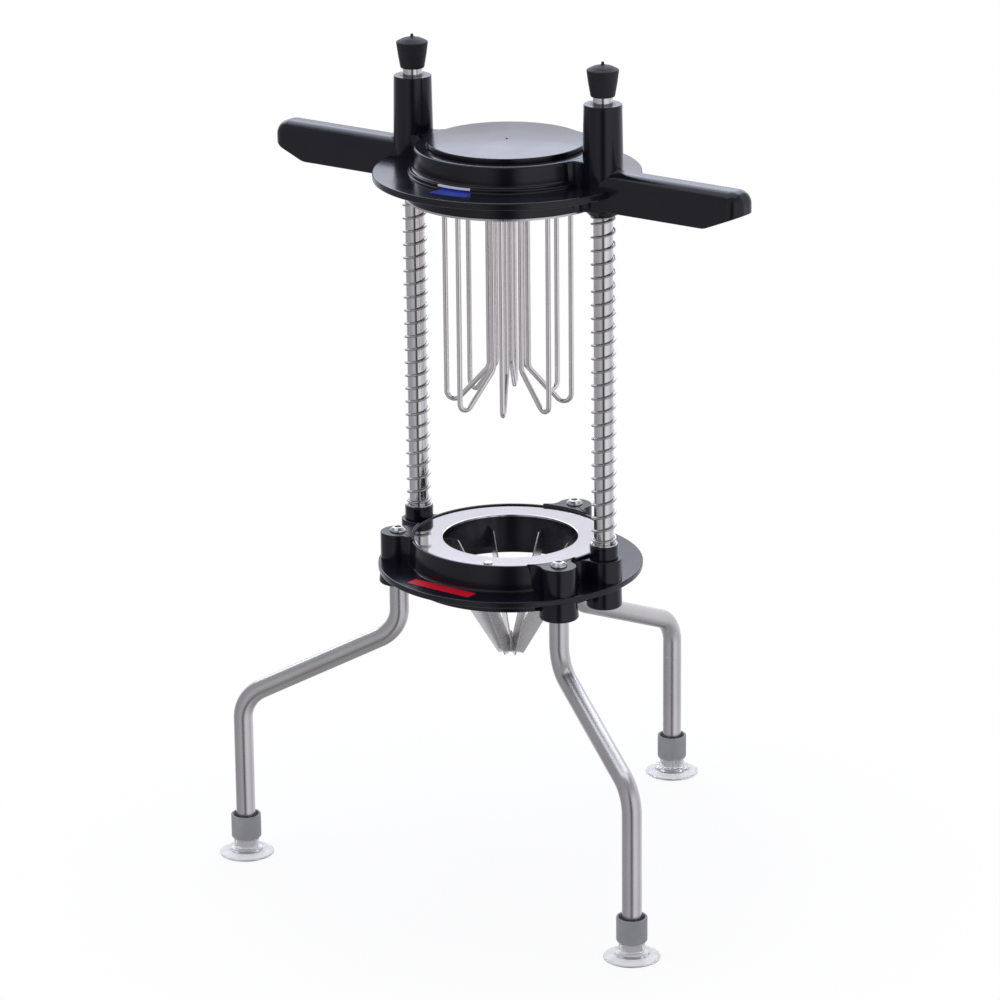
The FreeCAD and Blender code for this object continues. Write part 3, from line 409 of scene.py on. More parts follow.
def makeClearCup():
    # Clear soft vinyl, a little milky, with slight ripples
    finish = Finish("clearCup", {
        "Base Color": (0.83, 0.83, 0.845, 1), "Transmission Weight": 0.72, "IOR": 1.24})
    finish.gloss(240.0, smooth=0.12, rough=0.24)
    finish.grainBump(90.0, strength=0.25, depth=0.0002)
    return finish.material


def makeBushPlastic():
    # Dark grey plastic with a dull sheen
    finish = Finish("bushPlastic", {"IOR": 1.5})
    finish.colour(120.0, plain=(0.03, 0.03, 0.033), varied=(0.045, 0.045, 0.048))
    finish.gloss(300.0, smooth=0.35, rough=0.5)
    return finish.material


def makeSteel(name, colour, drift, smooth, rough, stretch, depth, where="UV"):
    # Stainless steel: drawn or brushed lines set the roughness and a fine bump, and the colour
    # drifts a little along the surface
    finish = Finish(name, {"Metallic": 1.0})
    lines = finish.effect(streaks, where, Stretch=stretch, Low=smooth, High=rough)
    finish.colour(22.0, colour, [value - drift for value in colour])
    wire(finish.tree, (lines, "Value", finish.shader, "Roughness"))
    finish.bump(lines, "Height", 0.5, depth)
    return finish.material


def makeSticker(name, plain, varied):
    # Printed film: smooth, lightly glossy, with no lettering
    finish = Finish(name, {"IOR": 1.5, "Specular IOR Level": 0.25})
    finish.colour(80.0, plain, varied)
    finish.gloss(260.0, smooth=0.3, rough=0.42)
    return finish.material


blackMoulding = makeMoulding()
knobRubber = makeKnobRubber()
greyRubber = makeGreyRubber()
clearCup = makeClearCup()
bushPlastic = makeBushPlastic()
rodSteel = makeSteel("rodSteel", colour=(0.7, 0.685, 0.67), drift=0.05, smooth=0.09, rough=0.16,
                     stretch=(40.0, 1100.0, 1.0), depth=0.000001)
legSteel = makeSteel("legSteel", colour=(0.62, 0.605, 0.595), drift=0.05, smooth=0.24, rough=0.32,
                     stretch=(900.0, 18.0, 1.0), depth=0.000001)
springWire = makeSteel("springWire", colour=(0.52, 0.51, 0.5), drift=0.08, smooth=0.2, rough=0.32,
                       stretch=(2500.0, 60.0, 1.0), depth=0.000002)
fingerSteel = makeSteel("fingerSteel", colour=(0.79, 0.765, 0.745), drift=0.06, smooth=0.12,
                        rough=0.18, stretch=(700.0, 10.0, 1.0), depth=0.0000005)
screwSteel = makeSteel("screwSteel", colour=(0.6, 0.595, 0.59), drift=0.07, smooth=0.14, rough=0.24,
                       stretch=(300.0, 1800.0, 1.0), depth=0.000003)
plateSteel = makeSteel("plateSteel", colour=(0.68, 0.67, 0.7), drift=0.04, smooth=0.04, rough=0.09,
                       stretch=(14.0, 1500.0, 1.0), depth=0.000001)
bladeSteel = makeSteel("bladeSteel", colour=(0.74, 0.73, 0.72), drift=0.05, smooth=0.24, rough=0.3,
                       stretch=(25.0, 25.0, 120.0), depth=0.0000002, where="Object")
pusherSteel = makeSteel("pusherSteel", colour=(0.6, 0.59, 0.58), drift=0.06, smooth=0.22, rough=0.34,
                        stretch=(1300.0, 40.0, 40.0), depth=0.000003, where="Object")
blueFilm = makeSticker("blueFilm", (0.012, 0.03, 0.28), (0.015, 0.04, 0.34))
redFilm = makeSticker("redFilm", (0.58, 0.004, 0.022), (0.66, 0.006, 0.028))
whiteFilm = makeSticker("whiteFilm", (0.84, 0.84, 0.86), (0.88, 0.88, 0.9))
print("materials made")


# Boss plan: the boss circle, on each side an arc that touches both circle and wall, and an inner
# arc about the press axis that stays inside the wall

def flaredPlan(wall, boss, flare, angle, innerRadius):
    fromAxis, fromBoss = wall + flare, boss + flare
    centreX = (fromAxis ** 2 + pitchRadius ** 2 - fromBoss ** 2) / (2 * pitchRadius)
    centreY = math.sqrt(fromAxis ** 2 - centreX ** 2)
    toBoss = math.atan2(-centreY, pitchRadius - centreX)
    toAxis = math.atan2(-centreY, -centreX)
    touch = math.atan2(centreY, centreX - pitchRadius)
    cap = arcOf((pitchRadius, 0), boss, -touch, touch, 36)
    upper = arcOf((centreX, centreY), flare, toBoss, toAxis, 10)[1:]
    lower = (upper * (1, -1))[::-1]
    spread = math.atan2(upper[-1, 1], upper[-1, 0])
    inner = arcOf((0, 0), innerRadius, spread, -spread, 12)
    return rotatedPlan(np.vstack((cap, upper, inner, lower)), angle)


def roundedTop(top, rounding, steps=4, guard=0.12):
    # Rows of a top edge rounded by a quarter circle, with a guard row at each end
    angle = np.linspace(0, math.pi / 2, steps + 1)
    rows = [(top - rounding - guard, 0.0)]
    rows += [(top - rounding + rounding * math.sin(a), rounding - rounding * math.cos(a))
             for a in angle]
    return rows + [(top, rounding + guard)]


# Base moulding: turned ring and flange, two rod bosses and three leg bosses with flares

baseLook = {
    "ledge": 60.0, "well": 63.0, "ring": 73.0, "flange": 95.0, "wallFoot": 72.5, "wall": 71.5,
    "rimInner": 69.3, "ringBase": 217.0, "flangeTop": 232.3, "flangeThick": 4.3, "rimTop": 251.0,
    "seat": 248.5, "floor": 226.0, "edge": 1.0, "fillet": 1.6, "flare": 9.0, "taper": 0.4,
    "bossInner": 70.3, "rodBoss": 12.9, "rodBossTop": 249.0, "rodBossBase": 213.0,
    "legBoss": 12.7, "legBossFoot": 14.3, "legBossTop": 252.0, "legBossBase": 213.5,
    "topEdge": 0.9, "footEdge": 1.8}


def baseGrids(look):
    # The ring's profile, and for each boss a flared column on the flange and a tapered foot below
    under, inside = look["flangeTop"] - look["flangeThick"], look["flangeTop"] - overlap
    grids = [lathe([
        (look["ledge"], look["ringBase"], 0.5), (look["ring"], look["ringBase"], 1.2),
        (look["ring"], under, look["fillet"]), (look["flange"], under, look["edge"]),
        (look["flange"], look["flangeTop"], look["edge"]),
        (look["wallFoot"], look["flangeTop"], look["fillet"]),
        (look["wall"], look["rimTop"], 0.9), (look["rimInner"], look["rimTop"], 0.4),
        (look["rimInner"], look["seat"], 0), (look["well"], look["seat"], 0.3),
        (look["well"], look["floor"], 0), (look["ledge"], look["floor"], 0.4)],
        pressAxis, 192)]
    bosses = ((rodAngles, "rodBoss", look["rodBoss"]), (legAngles, "legBoss", look["legBossFoot"]))
    for angles, kind, foot in bosses:
        top, base = look[f"{kind}Top"], look[f"{kind}Base"]
        for angle in angles.values():
            plan = flaredPlan(look["wall"], look[kind], look["flare"], angle, look["bossInner"])
            grids.append(column(plan, [(inside - overlap, 0.0)] + roundedTop(top, look["topEdge"])))
            grids.append(lathe([
                (0, inside, 0), (look[kind] - look["taper"], inside, 0),
                (foot, base, look["footEdge"]), (0, base, 0)], onPitchCircle(angle)))
    return grids


addPiece("baseMoulding", baseGrids(baseLook), blackMoulding, "stand", "black_moulding", "base_moulding")
print("base moulding done")


# Blade plate: turned disc with rounded edges, and the peg that keys it

plateLook = {"bore": 48.4, "radius": 69.0, "edges": (0.3, 0.3, 0.55, 0.55), "under": 248.5,
             "thick": 1.5}
pegLook = {"bore": 0, "radius": 3.4, "edges": (0, 0.2, 0.7, 0), "rise": 1.2}
plateUnder = plateLook["under"]
plateTop = plateUnder + plateLook["thick"]
addPiece("bladePlate", [lathe(ringCorners(plateLook, plateUnder, plateTop), pressAxis, 192)],
         plateSteel, "stand", "polished_steel", "blade_plate")
pegCorners = ringCorners(pegLook, plateUnder, plateTop + pegLook["rise"])
addPiece("platePeg", [lathe(pegCorners, middleOf("plate_peg")[:2], 40)], screwSteel, "stand",
         "polished_steel", "plate_peg")
print("blade plate done")


# Guide rods with their collars, washers, springs and knobs

rodLook = {"bore": 0, "radius": 7.0, "edges": (0, 0.6, 0.6, 0)}
collarLook = {"bore": 7.05, "radius": 10.2, "edges": (0, 0.3, 0.9, 0)}
washerLook = {"bore": 7.2, "radius": 9.6, "edges": (0, 0.25, 0.25, 0.1)}
springLook = {"radius": 8.2, "wire": 1.5, "turns": 26, "endPitch": 2.1, "perTurn": 30, "sides": 12,
              "edge": 0.15}
knobLook = {"foot": 8.4, "shoulder": 11.3, "waist": 10.05, "dome": 3.7, "domeShare": 0.6,
            "pip": 1.1, "pipRise": 1.9, "bore": 7.05, "lip": 1.6}


def helixPath(look, place, low, high):
    # Spring centre line: place + radius * (cos(turn), sin(turn)), with one close turn at each end
    # and even pitch between; each end runs straight on for one wire thickness
    turns, endPitch = look["turns"], look["endPitch"]
    turn = np.linspace(0, turns, turns * look["perTurn"] + 1)
    bottom, top = low + look["wire"] / 2, high - look["wire"] / 2
    pitch = (top - bottom - 2 * endPitch) / (turns - 2)
    close = np.minimum(turn, 1) + np.maximum(turn - (turns - 1), 0)
    height = bottom + close * endPitch + np.clip(turn - 1, 0, turns - 2) * pitch
    angle = 2 * math.pi * turn
    radial = together(np.cos(angle), np.sin(angle), 0.0)
    path = radial * look["radius"]
    path[:, 2] = height
    path[:, :2] += place
    along = np.array((0.0, look["wire"], 0.0))
    path = np.vstack((path[0] - along, path, path[-1] + along))
    return path, np.vstack((radial[:1], radial, radial[-1:]))


for side, place in rodPlaces.items():
    foot, top = heightsOf(f"{side}_guide_rod")
    addPiece(f"{side}Rod", [lathe(ringCorners(rodLook, foot, top), place)],
             rodSteel, "stand", "satin_steel", f"{side}_guide_rod")
    low, high = heightsOf(f"{side}_spring_collar")
    addPiece(f"{side}Collar", [lathe(ringCorners(collarLook, low, high), place)],
             blackMoulding, "stand", "black_moulding", f"{side}_spring_collar")
    low, high = heightsOf(f"{side}_return_spring")
    path, radial = helixPath(springLook, place, low, high)
    coil = tube(path, radial, springLook["wire"] / 2, springLook["sides"], springLook["edge"])
    spring = addPiece(f"{side}Spring", [coil], springWire, "stand", "spring_wire",
                      f"{side}_return_spring")
    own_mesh(spring)
    low, shoulder = heightsOf(f"{side}_knob_cap")[0], top + knobLook["lip"]
    domeTop = shoulder + knobLook["dome"]
    pipTop = domeTop + knobLook["pipRise"]
    addPiece(f"{side}Knob", [lathe([
        (knobLook["bore"], low, 0), (knobLook["foot"], low, 0.7),
        (knobLook["waist"], (low + shoulder) / 2, 12), (knobLook["shoulder"], shoulder, 0.9),
        (knobLook["shoulder"] * knobLook["domeShare"],
         shoulder + knobLook["dome"] * knobLook["domeShare"], 3),
        (knobLook["pip"], domeTop, 1.0), (knobLook["pip"] * 0.9, pipTop, 0.5), (0, pipTop, 0),
        (0, top, 0), (knobLook["bore"], top, 0)], place)],
        knobRubber, "stand", "black_rubber", f"{side}_knob_cap")
low, high = heightsOf("spring_washers")
addPiece("springWashers", [lathe(ringCorners(washerLook, low, high), place, 64)
                           for place in rodPlaces.values()],
         screwSteel, "stand", "polished_steel", "spring_washers")
print("rods, springs and knobs done")


# Legs: straight down, out on a slope and down again, with rubber sleeves and suction cups

legLook = {"radius": 7.0, "edge": 0.6, "top": 238.0, "foot": 6.0, "bend": 25.0, "upper": 193.0,
           "lower": 106.0}
sleeveLook = {"radius": 10.9, "mouth": 9.3, "mouthDepth": 5.0, "bore": 7.0}
cupLook = {"radius": 20.0, "rim": 2.6, "edge": 0.9, "hollow": 2.0, "slope": 3.2, "step": 12.5,
           "stepTop": 5.0, "neck": 9.3, "neckFoot": 5.8, "bore": 7.05, "floor": 6.0}


def bentPath(start, end, bends, turns, steps=18):
    # Centre line of a bent bar: straight, arc, straight, arc, straight, all touching. A bend is
    # (height, radius), its turn +1 to the left or -1 to the right, and both ends stand upright
    headings = (-math.pi / 2, -math.pi / 2 if turns[0] != turns[1] else math.pi / 2)
    centres = [np.array((point[0] - math.sin(heading) * turn * radius, height))
               for point, (height, radius), turn, heading in zip((start, end), bends, turns, headings)]
    across = centres[1] - centres[0]
    offset = turns[1] * bends[1][1] - turns[0] * bends[0][1]
    slope = math.atan2(across[1], across[0]) - math.asin(offset / np.linalg.norm(across))

    def bend(centre, radius, turn, entry, leave):
        sweep = (leave - entry) % (2 * math.pi) if turn > 0 else -((entry - leave) % (2 * math.pi))
        heading = entry + sweep * np.linspace(0, 1, steps + 1)
        return centre + turn * radius * together(np.sin(heading), -np.cos(heading))

    first = bend(centres[0], bends[0][1], turns[0], headings[0], slope)
    second = bend(centres[1], bends[1][1], turns[1], slope, headings[1])
    return np.vstack((start, first, second, end))


def stoodAt(path, angle):
    # A path of (reach, height) stood at an angle about the press axis, and its sideways direction
    across = np.array((math.cos(angle), math.sin(angle)))
    points = np.column_stack((path[:, :1] * across + pressAxis, path[:, 1]))
    return points, np.array((-across[1], across[0], 0.0))


for side, angle in legAngles.items():
    name = side.title().replace("_", "")
    foot = footPlaces[side]
    path, across = stoodAt(bentPath(
        (pitchRadius, legLook["top"]), (np.linalg.norm(foot - pressAxis), legLook["foot"]),
        ((legLook["upper"], legLook["bend"]), (legLook["lower"], legLook["bend"])), (1, -1)), angle)
    addPiece(f"leg{name}", [tube(path, across, legLook["radius"], 48, legLook["edge"])],
             legSteel, "stand", "satin_steel", f"{side}_leg")
    base, top = heightsOf(f"{side}_foot_sleeve")
    mouthFloor = top - sleeveLook["mouthDepth"]
    addPiece(f"footSleeve{name}", [lathe([
        (sleeveLook["bore"], base, 0), (sleeveLook["radius"], base, 1.4),
        (sleeveLook["radius"], top, 0.5), (sleeveLook["mouth"], top, 0.4),
        (sleeveLook["mouth"], mouthFloor, 0.5), (sleeveLook["bore"], mouthFloor, 0)],
        foot)], greyRubber, "stand", "grey_rubber", f"{side}_foot_sleeve")
    addPiece(f"suctionCup{name}", [lathe([
        (0, cupLook["hollow"], 0), (cupLook["radius"] * 0.5, cupLook["hollow"] * 0.8, 6),
        (cupLook["radius"] - cupLook["rim"], 0, 0.6), (cupLook["radius"], 0, 0.3),
        (cupLook["radius"], cupLook["edge"], 0.3), (cupLook["step"] + 0.5, cupLook["slope"], 2.0),
        (cupLook["step"], cupLook["stepTop"], 0.5), (cupLook["neck"], cupLook["neckFoot"], 0.6),
        (cupLook["neck"], base, 0.3), (cupLook["bore"], base, 0),
        (cupLook["bore"], cupLook["floor"], 0), (0, cupLook["floor"], 0)], foot)],
        clearCup, "stand", "clear_cup", f"{side}_suction_cup")
print("legs and feet done")


# Button screws: a domed head with a hexagon socket, on a plain shank

legScrewLook = {"head": 6.0, "height": 3.2, "shank": 3.0, "sunk": 1.5, "socket": 2.2, "seat": 0.05}


def screwGrid(place, seat, look, sides=60):
    # Turned head: rows of (radius, height) up to the socket, then the same rows on a hexagon,
    # whose radius is flat / cos(angle from the middle of each side)
    head, height = look["head"], look["height"]
    dome = softened([
        (0, -look["sunk"], 0), (look["shank"], -look["sunk"], 0), (look["shank"], 0, 0),
        (head, 0, 0.3), (head, height * 0.35, 1.6), (head * 0.62, height, 1.8),
        (head * 0.48, height, 0)])
    angle = np.linspace(0, 2 * math.pi, sides + 1)
    hexagon = look["socket"] / np.cos((angle % (math.pi / 3)) - math.pi / 6)
    radius = np.vstack((
        np.broadcast_to(dome[:, :1], (len(dome), sides + 1)), hexagon + 0.15, hexagon,
        hexagon * 0.97, hexagon * 0.95, hexagon * 0))
    rise = np.concatenate((dome[:, 1], (
        height, height - 0.15, height * 0.4, height * 0.36, height * 0.3)))[:, None]
    points = together(place[0] + radius * np.cos(angle), place[1] + radius * np.sin(angle),
                      seat + rise)
    return points, together(angle[None] * head, rise)


legScrewSeat = baseLook["legBossTop"] - legScrewLook["seat"]
addPiece("legScrews", [screwGrid(onPitchCircle(angle), legScrewSeat, legScrewLook)
                       for angle in legAngles.values()],
         screwSteel, "stand", "polished_steel", "leg_screws")
print("screws done")


# Press head: turned hub and flange, two handles, two sleeves, and the flares between them

headLook = {
    "bore": 52.0, "skirt": 71.5, "skirtBase": 502.5, "flange": 94.5, "flangeTop": 519.5,
    "flangeThick": 5.0, "step": 68.8, "stepRise": 2.6, "hub": 65.0, "hubTop": 537.5, "well": 56.3,
    "seat": 534.0, "edge": 1.0, "flare": 9.0, "flareDepth": 4.0, "tuck": 0.1}
sleeveTube = {"bore": 8.8, "under": 10.4, "root": 13.4, "rootHeight": 504.0, "foot": 14.2,
              "top": 13.4, "waist": 529.0, "low": 507.5, "edge": 0.8, "fillet": 7.2, "tuck": 1.2,
              "buried": 2.0, "sunk": 0.4, "lap": 0.04, "least": 0.05}
handleLook = {"root": 81.0, "tip": 198.3, "half": 13.2, "top": 531.5, "base": 504.4,
              "undercut": 171.2, "tipBase": 515.6, "round": 10.0, "lowRound": 1.2, "kink": 2.5,
              "stations": (90, 120, 150), "least": 0.02, "flat": 0.93, "end": 0.15}


def handleGrid(look, side):
    # Bar along X: at each station a rounded rectangle. The tip's end is rounded by drawing the
    # sides and the top in by round - sqrt(round^2 - run^2), where run is the way past its start
    start = look["tip"] - look["round"]
    turn = np.linspace(0, math.pi / 2, 9)
    kink = look["kink"]
    straight = np.concatenate((
        (look["root"], look["root"] + 1, *look["stations"]),
        look["undercut"] + kink * np.linspace(-1, 1, 7), (start - 5, start - 0.2)))
    station = np.concatenate((straight, start + look["round"] * np.sin(turn), (look["tip"],)))
    inset = np.concatenate((np.zeros(len(straight)), look["round"] * (1 - np.cos(turn)),
                            (look["round"] + look["end"],)))
    rise = (look["tipBase"] - look["base"]) / (look["tip"] - look["undercut"])
    past = station - look["undercut"]
    base = look["base"] + rise * np.where(
        past < -kink, 0, np.where(past > kink, past, (past + kink) ** 2 / (4 * kink)))
    half, top = look["half"] - inset, look["top"] - inset
    upper = np.maximum(look["round"] - inset, look["least"])
    lower = np.full_like(upper, look["lowRound"])
    quarters = ((1, base + lower, lower, -math.pi / 2), (1, top - upper, upper, 0),
                (-1, top - upper, upper, math.pi / 2), (-1, base + lower, lower, math.pi))
    across, up = [], []
    for way, centreUp, rounding, fromAngle in quarters:
        angle = fromAngle + turn
        across.append((way * (half - rounding))[:, None] + rounding[:, None] * np.cos(angle))
        up.append(centreUp[:, None] + rounding[:, None] * np.sin(angle))
        if fromAngle == 0:  # the flat top follows the first of the two upper corners
            flat = look["flat"] * np.linspace(1, -1, 7)
            across.append((half - rounding)[:, None] * flat)
            up.append(np.repeat(top[:, None], len(flat), axis=1))
    across = np.hstack(across + [across[0][:, :1]])
    up = np.hstack(up + [up[0][:, :1]])
    grid = together(station[:, None], across, up)
    middle = grid.mean(axis=1, keepdims=True) * (1, 0, 1)

    def drawnIn(row, share):
        # An end ring drawn in towards its middle
        return (middle[row] + (grid[row] - middle[row]) * share)[None]

    grid = np.vstack((drawnIn(0, 0), drawnIn(0, 0.5), grid, drawnIn(-1, 0.6), drawnIn(-1, 0)))
    points = grid * (side, side, 1) + (*pressAxis, 0)
    return points, together(lengthsAlong(grid[3])[None], grid[..., 0])


def rootFillet(place, way, tubeLook, bar):
    # Hollow fillet where a sleeve meets the handle's top: a quarter circle swept round the sleeve.
    # Its size fades towards the sides, size = fillet * cos(angle)^8, and its foot follows the
    # handle's rounded top, height = top - (round - sqrt(round^2 - past^2)) past the flat
    angle = np.linspace(0, 2 * math.pi, 97)[None]
    level = 0 * angle
    size = tubeLook["least"] + tubeLook["fillet"] * np.maximum(np.cos(angle), 0) ** 8
    bend = np.linspace(0, math.pi / 2, 9)[:, None]
    wall = tubeLook["foot"] - tubeLook["tuck"]
    hidden = wall - 2 * overlap + level
    radius = np.vstack((hidden, wall + size, wall + size * (1 - np.sin(bend)), hidden, hidden))
    buried = level - tubeLook["buried"]
    rise = np.vstack((buried, level - tubeLook["sunk"], size * (1 - np.cos(bend)) - tubeLook["lap"],
                      size, buried))
    past = np.clip(np.abs(radius * np.sin(angle)) - (bar["half"] - bar["round"]), 0, bar["round"])
    height = bar["top"] - bar["round"] + np.sqrt(bar["round"] ** 2 - past ** 2) + rise
    points = together(place[0] + way * radius * np.cos(angle), place[1] + radius * np.sin(angle),
                      height)
    return points, together(radius * angle, height)


def headGrids(look):
    # The hub's profile, and for each side a turned sleeve, a handle with its root fillet, and the
    # two flared columns that join the sleeve to hub and skirt
    under, inside = look["flangeTop"] - look["flangeThick"], look["flangeTop"] - overlap
    stepTop, tuck = look["flangeTop"] + look["stepRise"], look["tuck"]
    grids = [lathe([
        (look["bore"], look["skirtBase"], 0), (look["skirt"], look["skirtBase"], 0.8),
        (look["skirt"], under, 1.2), (look["flange"], under, look["edge"]),
        (look["flange"], look["flangeTop"], look["edge"]), (look["step"], look["flangeTop"], 0.9),
        (look["step"], stepTop, 0.8), (look["hub"] + 0.3, stepTop + 0.6, 2.4),
        (look["hub"], look["hubTop"], 2.0), (look["well"], look["hubTop"], 0.4),
        (look["well"], look["seat"], 0), (look["bore"], look["seat"], 0)],
        pressAxis, 192)]
    webs = ((look["hub"], sleeveTube["foot"] - 2 * tuck,
             [(inside, 0.0)] + roundedTop(look["hubTop"] - 0.3, 1.2)),
            (look["skirt"], sleeveTube["root"] - tuck,
             [(look["skirtBase"], 0.6), (look["skirtBase"] + 0.6, 0.0), (inside, 0.0)]))
    foot, top = heightsOf("press_head")
    for side, place in rodPlaces.items():
        way, angle = (1 if side == "right" else -1), rodAngles[side]
        grids.append(lathe([
            (sleeveTube["bore"], foot, 0), (sleeveTube["under"], foot, 0.8),
            (sleeveTube["root"], sleeveTube["rootHeight"], 1.5),
            (sleeveTube["root"], sleeveTube["low"], 3), (sleeveTube["foot"], sleeveTube["waist"], 12),
            (sleeveTube["top"], top, sleeveTube["edge"]), (sleeveTube["bore"], top, 0.3)],
            place, 96))
        grids.append(handleGrid(handleLook, way))
        grids.append(rootFillet(place, way, sleeveTube, handleLook))
        for wall, boss, rows in webs:
            plan = flaredPlan(wall - tuck, boss, look["flare"], angle, wall - look["flareDepth"])
            grids.append(column(plan, rows))
    return grids


addPiece("headMoulding", headGrids(headLook), blackMoulding, "head", "black_moulding", "press_head")
print("head moulding done")


# Head cover: a slightly crowned disc in the hub's well, with a small moulding pip in the middle

coverLook = {"radius": 55.5, "under": 534.0, "edgeTop": 541.0, "crown": 1.0, "edge": 0.9,
             "pip": 0.9, "pipRise": 0.5}


def coverGrid(look):
    # The top is an arc: height = edge top + crown * (1 - (radius / outer radius)^2)
    radius = np.linspace(look["radius"] - 3, look["pip"] + 0.7, 14)
    crown = look["edgeTop"] + look["crown"] * (1 - (radius / look["radius"]) ** 2)
    edge = softened([(0, look["under"], 0), (look["radius"], look["under"], 0.3),
                     (look["radius"], look["edgeTop"], look["edge"]),
                     (look["radius"] - 2.2, look["edgeTop"] + 0.08, 0)])
    pipBase = look["edgeTop"] + look["crown"]
    pip = softened([(look["pip"] + 0.3, pipBase, 0), (look["pip"], pipBase, 0.15),
                    (look["pip"] * 0.8, pipBase + look["pipRise"], 0.2),
                    (0, pipBase + look["pipRise"], 0)], steps=3, guard=0.03)
    return turned(np.vstack((edge, together(radius, crown), pip)), pressAxis, 160)


addPiece("headCover", [coverGrid(coverLook)], blackMoulding, "head", "black_moulding", "head_cover")
print("head cover done")


# Pusher fingers: bent wire, down from the plate and back up near the press axis

fingerLook = {"radius": 1.9, "edge": 0.3, "outer": 44.4, "inner": 14.0, "plate": 501.0,
              "bottomBend": 357.4, "bend": 5.5, "neck": 379.5, "neckBend": 8.0, "count": 8,
              "first": -15.7}

for number in range(fingerLook["count"]):
    angle = math.radians(fingerLook["first"]) + number * 2 * math.pi / fingerLook["count"]
    path, across = stoodAt(bentPath(
        (fingerLook["outer"], fingerLook["plate"]), (fingerLook["inner"], fingerLook["plate"]),
        ((fingerLook["bottomBend"], fingerLook["bend"]), (fingerLook["neck"], fingerLook["neckBend"])),
        (-1, -1)), angle)
    addPiece(f"finger{number + 1}", [tube(path, across, fingerLook["radius"], 28, fingerLook["edge"])],
             fingerSteel, "head", "satin_steel", f"pusher_finger_{number + 1}")
print("fingers done")


# Blank films of plain colour on the two flanges, with no lettering. The lower one is a rounded
# rectangle. The upper one climbs the hub's step and ends in a white strip

blueLook = {"inner": 68.9, "outer": 81.8, "middle": -85.2, "spread": 10.3, "rise": 0.16}
climbLook = {"inner": 68.2, "outer": 69.1, "middle": -86.0, "spread": 10.5, "rise": 1.5}
stripLook = {"inner": 66.8, "outer": 69.05, "middle": -87.4, "spread": 11.0, "rise": 2.8}
redLook = {"place": (-3.7, -79.0), "turn": -1.5, "length": 54.0, "width": 9.8, "corner": 1.2,
           "rise": 0.16}
filmDepth = 0.2  # how far a film reaches into the flange


def filmGrid(look, height):
    # A rounded rectangle, turned, and then moved to its place from the press axis
    corner = look["corner"]
    halfLong, halfWide = look["length"] / 2 - corner, look["width"] / 2 - corner
    corners = ((1, 1, 0), (-1, 1, 90), (-1, -1, 180), (1, -1, 270))
    plan = np.vstack([arcOf((halfLong * x, halfWide * y), corner,
                            math.radians(start), math.radians(start + 90), 6)
                      for x, y, start in corners])
    plan = rotatedPlan(plan, math.radians(look["turn"])) + look["place"]
    return column(plan, [(height - filmDepth, 0), (height + look["rise"] - 0.05, 0),
                         (height + look["rise"], 0.05)])


def bandGrid(look, low, high):
    # A film bent round the press axis: the plan lies between two arcs
    fromAngle, toAngle = (math.radians(look["middle"] + look["spread"] * way) for way in (-1, 1))
    outer = arcOf(pressAxis, look["outer"], fromAngle, toAngle, 24)
    inner = arcOf(pressAxis, look["inner"], toAngle, fromAngle, 24)
    return column(np.vstack((outer, inner)), [(low, 0), (high, 0)])


filmFoot = headLook["flangeTop"]
addPiece("blueSticker", [
    bandGrid(look, filmFoot - filmDepth, filmFoot + look["rise"]) for look in (blueLook, climbLook)],
    blueFilm, "head", "black_moulding")
addPiece("whiteStrip", [bandGrid(stripLook, filmFoot + climbLook["rise"], filmFoot + stripLook["rise"])],
         whiteFilm, "head", "black_moulding")
addPiece("redSticker", [filmGrid(redLook, baseLook["flangeTop"])], redFilm, "stand", "black_moulding")
print("stickers done")


# CAD parts that stay as they are, with their finishes

keptFinishes = {
    "blade_holder": blackMoulding, "blade_core": bladeSteel, "pusher_plate": pusherSteel,
    "pusher_screws": screwSteel, "rod_screws": screwSteel, "leg_plugs": legSteel,
    **{f"wedge_blade_{number}": bladeSteel for number in range(1, 9)},
    **{f"{side}_{level}_bush": bushPlastic for side in rodPlaces for level in ("upper", "lower")}}
for name, material in keptFinishes.items():
    mesh = nodes[name].data
    mesh.materials.clear()
    mesh.materials.append(material)
print("kept parts finished")


# Camera at the photograph's place: turned about the upright, tipped down and rolled a little

cameraLook = {"azimuth": 35.55, "elevation": 18.16, "distance": 3350.0, "across": -7.2,
              "height": 276.9, "roll": -0.56, "lens": 168.77, "sensor": 36, "farthest": 30}


def awayTowards(azimuth, elevation):
    # Direction from the press: round it from the front by azimuth, and up by elevation
    turn, lift = math.radians(azimuth), math.radians(elevation)
    return Vector((math.sin(turn) * math.cos(lift), -math.cos(turn) * math.cos(lift), math.sin(lift)))


def addCamera(look):
    azimuth, roll = math.radians(look["azimuth"]), math.radians(look["roll"])
    back = awayTowards(look["azimuth"], look["elevation"])
    right = Vector((math.cos(azimuth), math.sin(azimuth), 0))
    up = back.cross(right)
    rolledRight = right * math.cos(roll) + up * math.sin(roll)
    rolledUp = up * math.cos(roll) - right * math.sin(roll)
    target = Vector((*pressAxis, look["height"])) + right * look["across"]
    camera = newObject("camera", bpy.data.cameras.new("camera"))
    turn = Matrix((rolledRight, rolledUp, back)).transposed().to_4x4()
    camera.matrix_world = Matrix.Translation((target + back * look["distance"]) / metre) @ turn
    camera.data.lens = look["lens"]
    camera.data.sensor_width = look["sensor"]
    camera.data.clip_end = look["farthest"]
    bpy.context.scene.camera = camera
    return right, back


cameraRight, cameraBack = addCamera(cameraLook)


# Studio: soft lamps, a pale world that metal and gloss see, and a pale floor. A lamp's azimuth is
# counted from the camera's, and gloss doesn't show a lamp that isn't mirrored

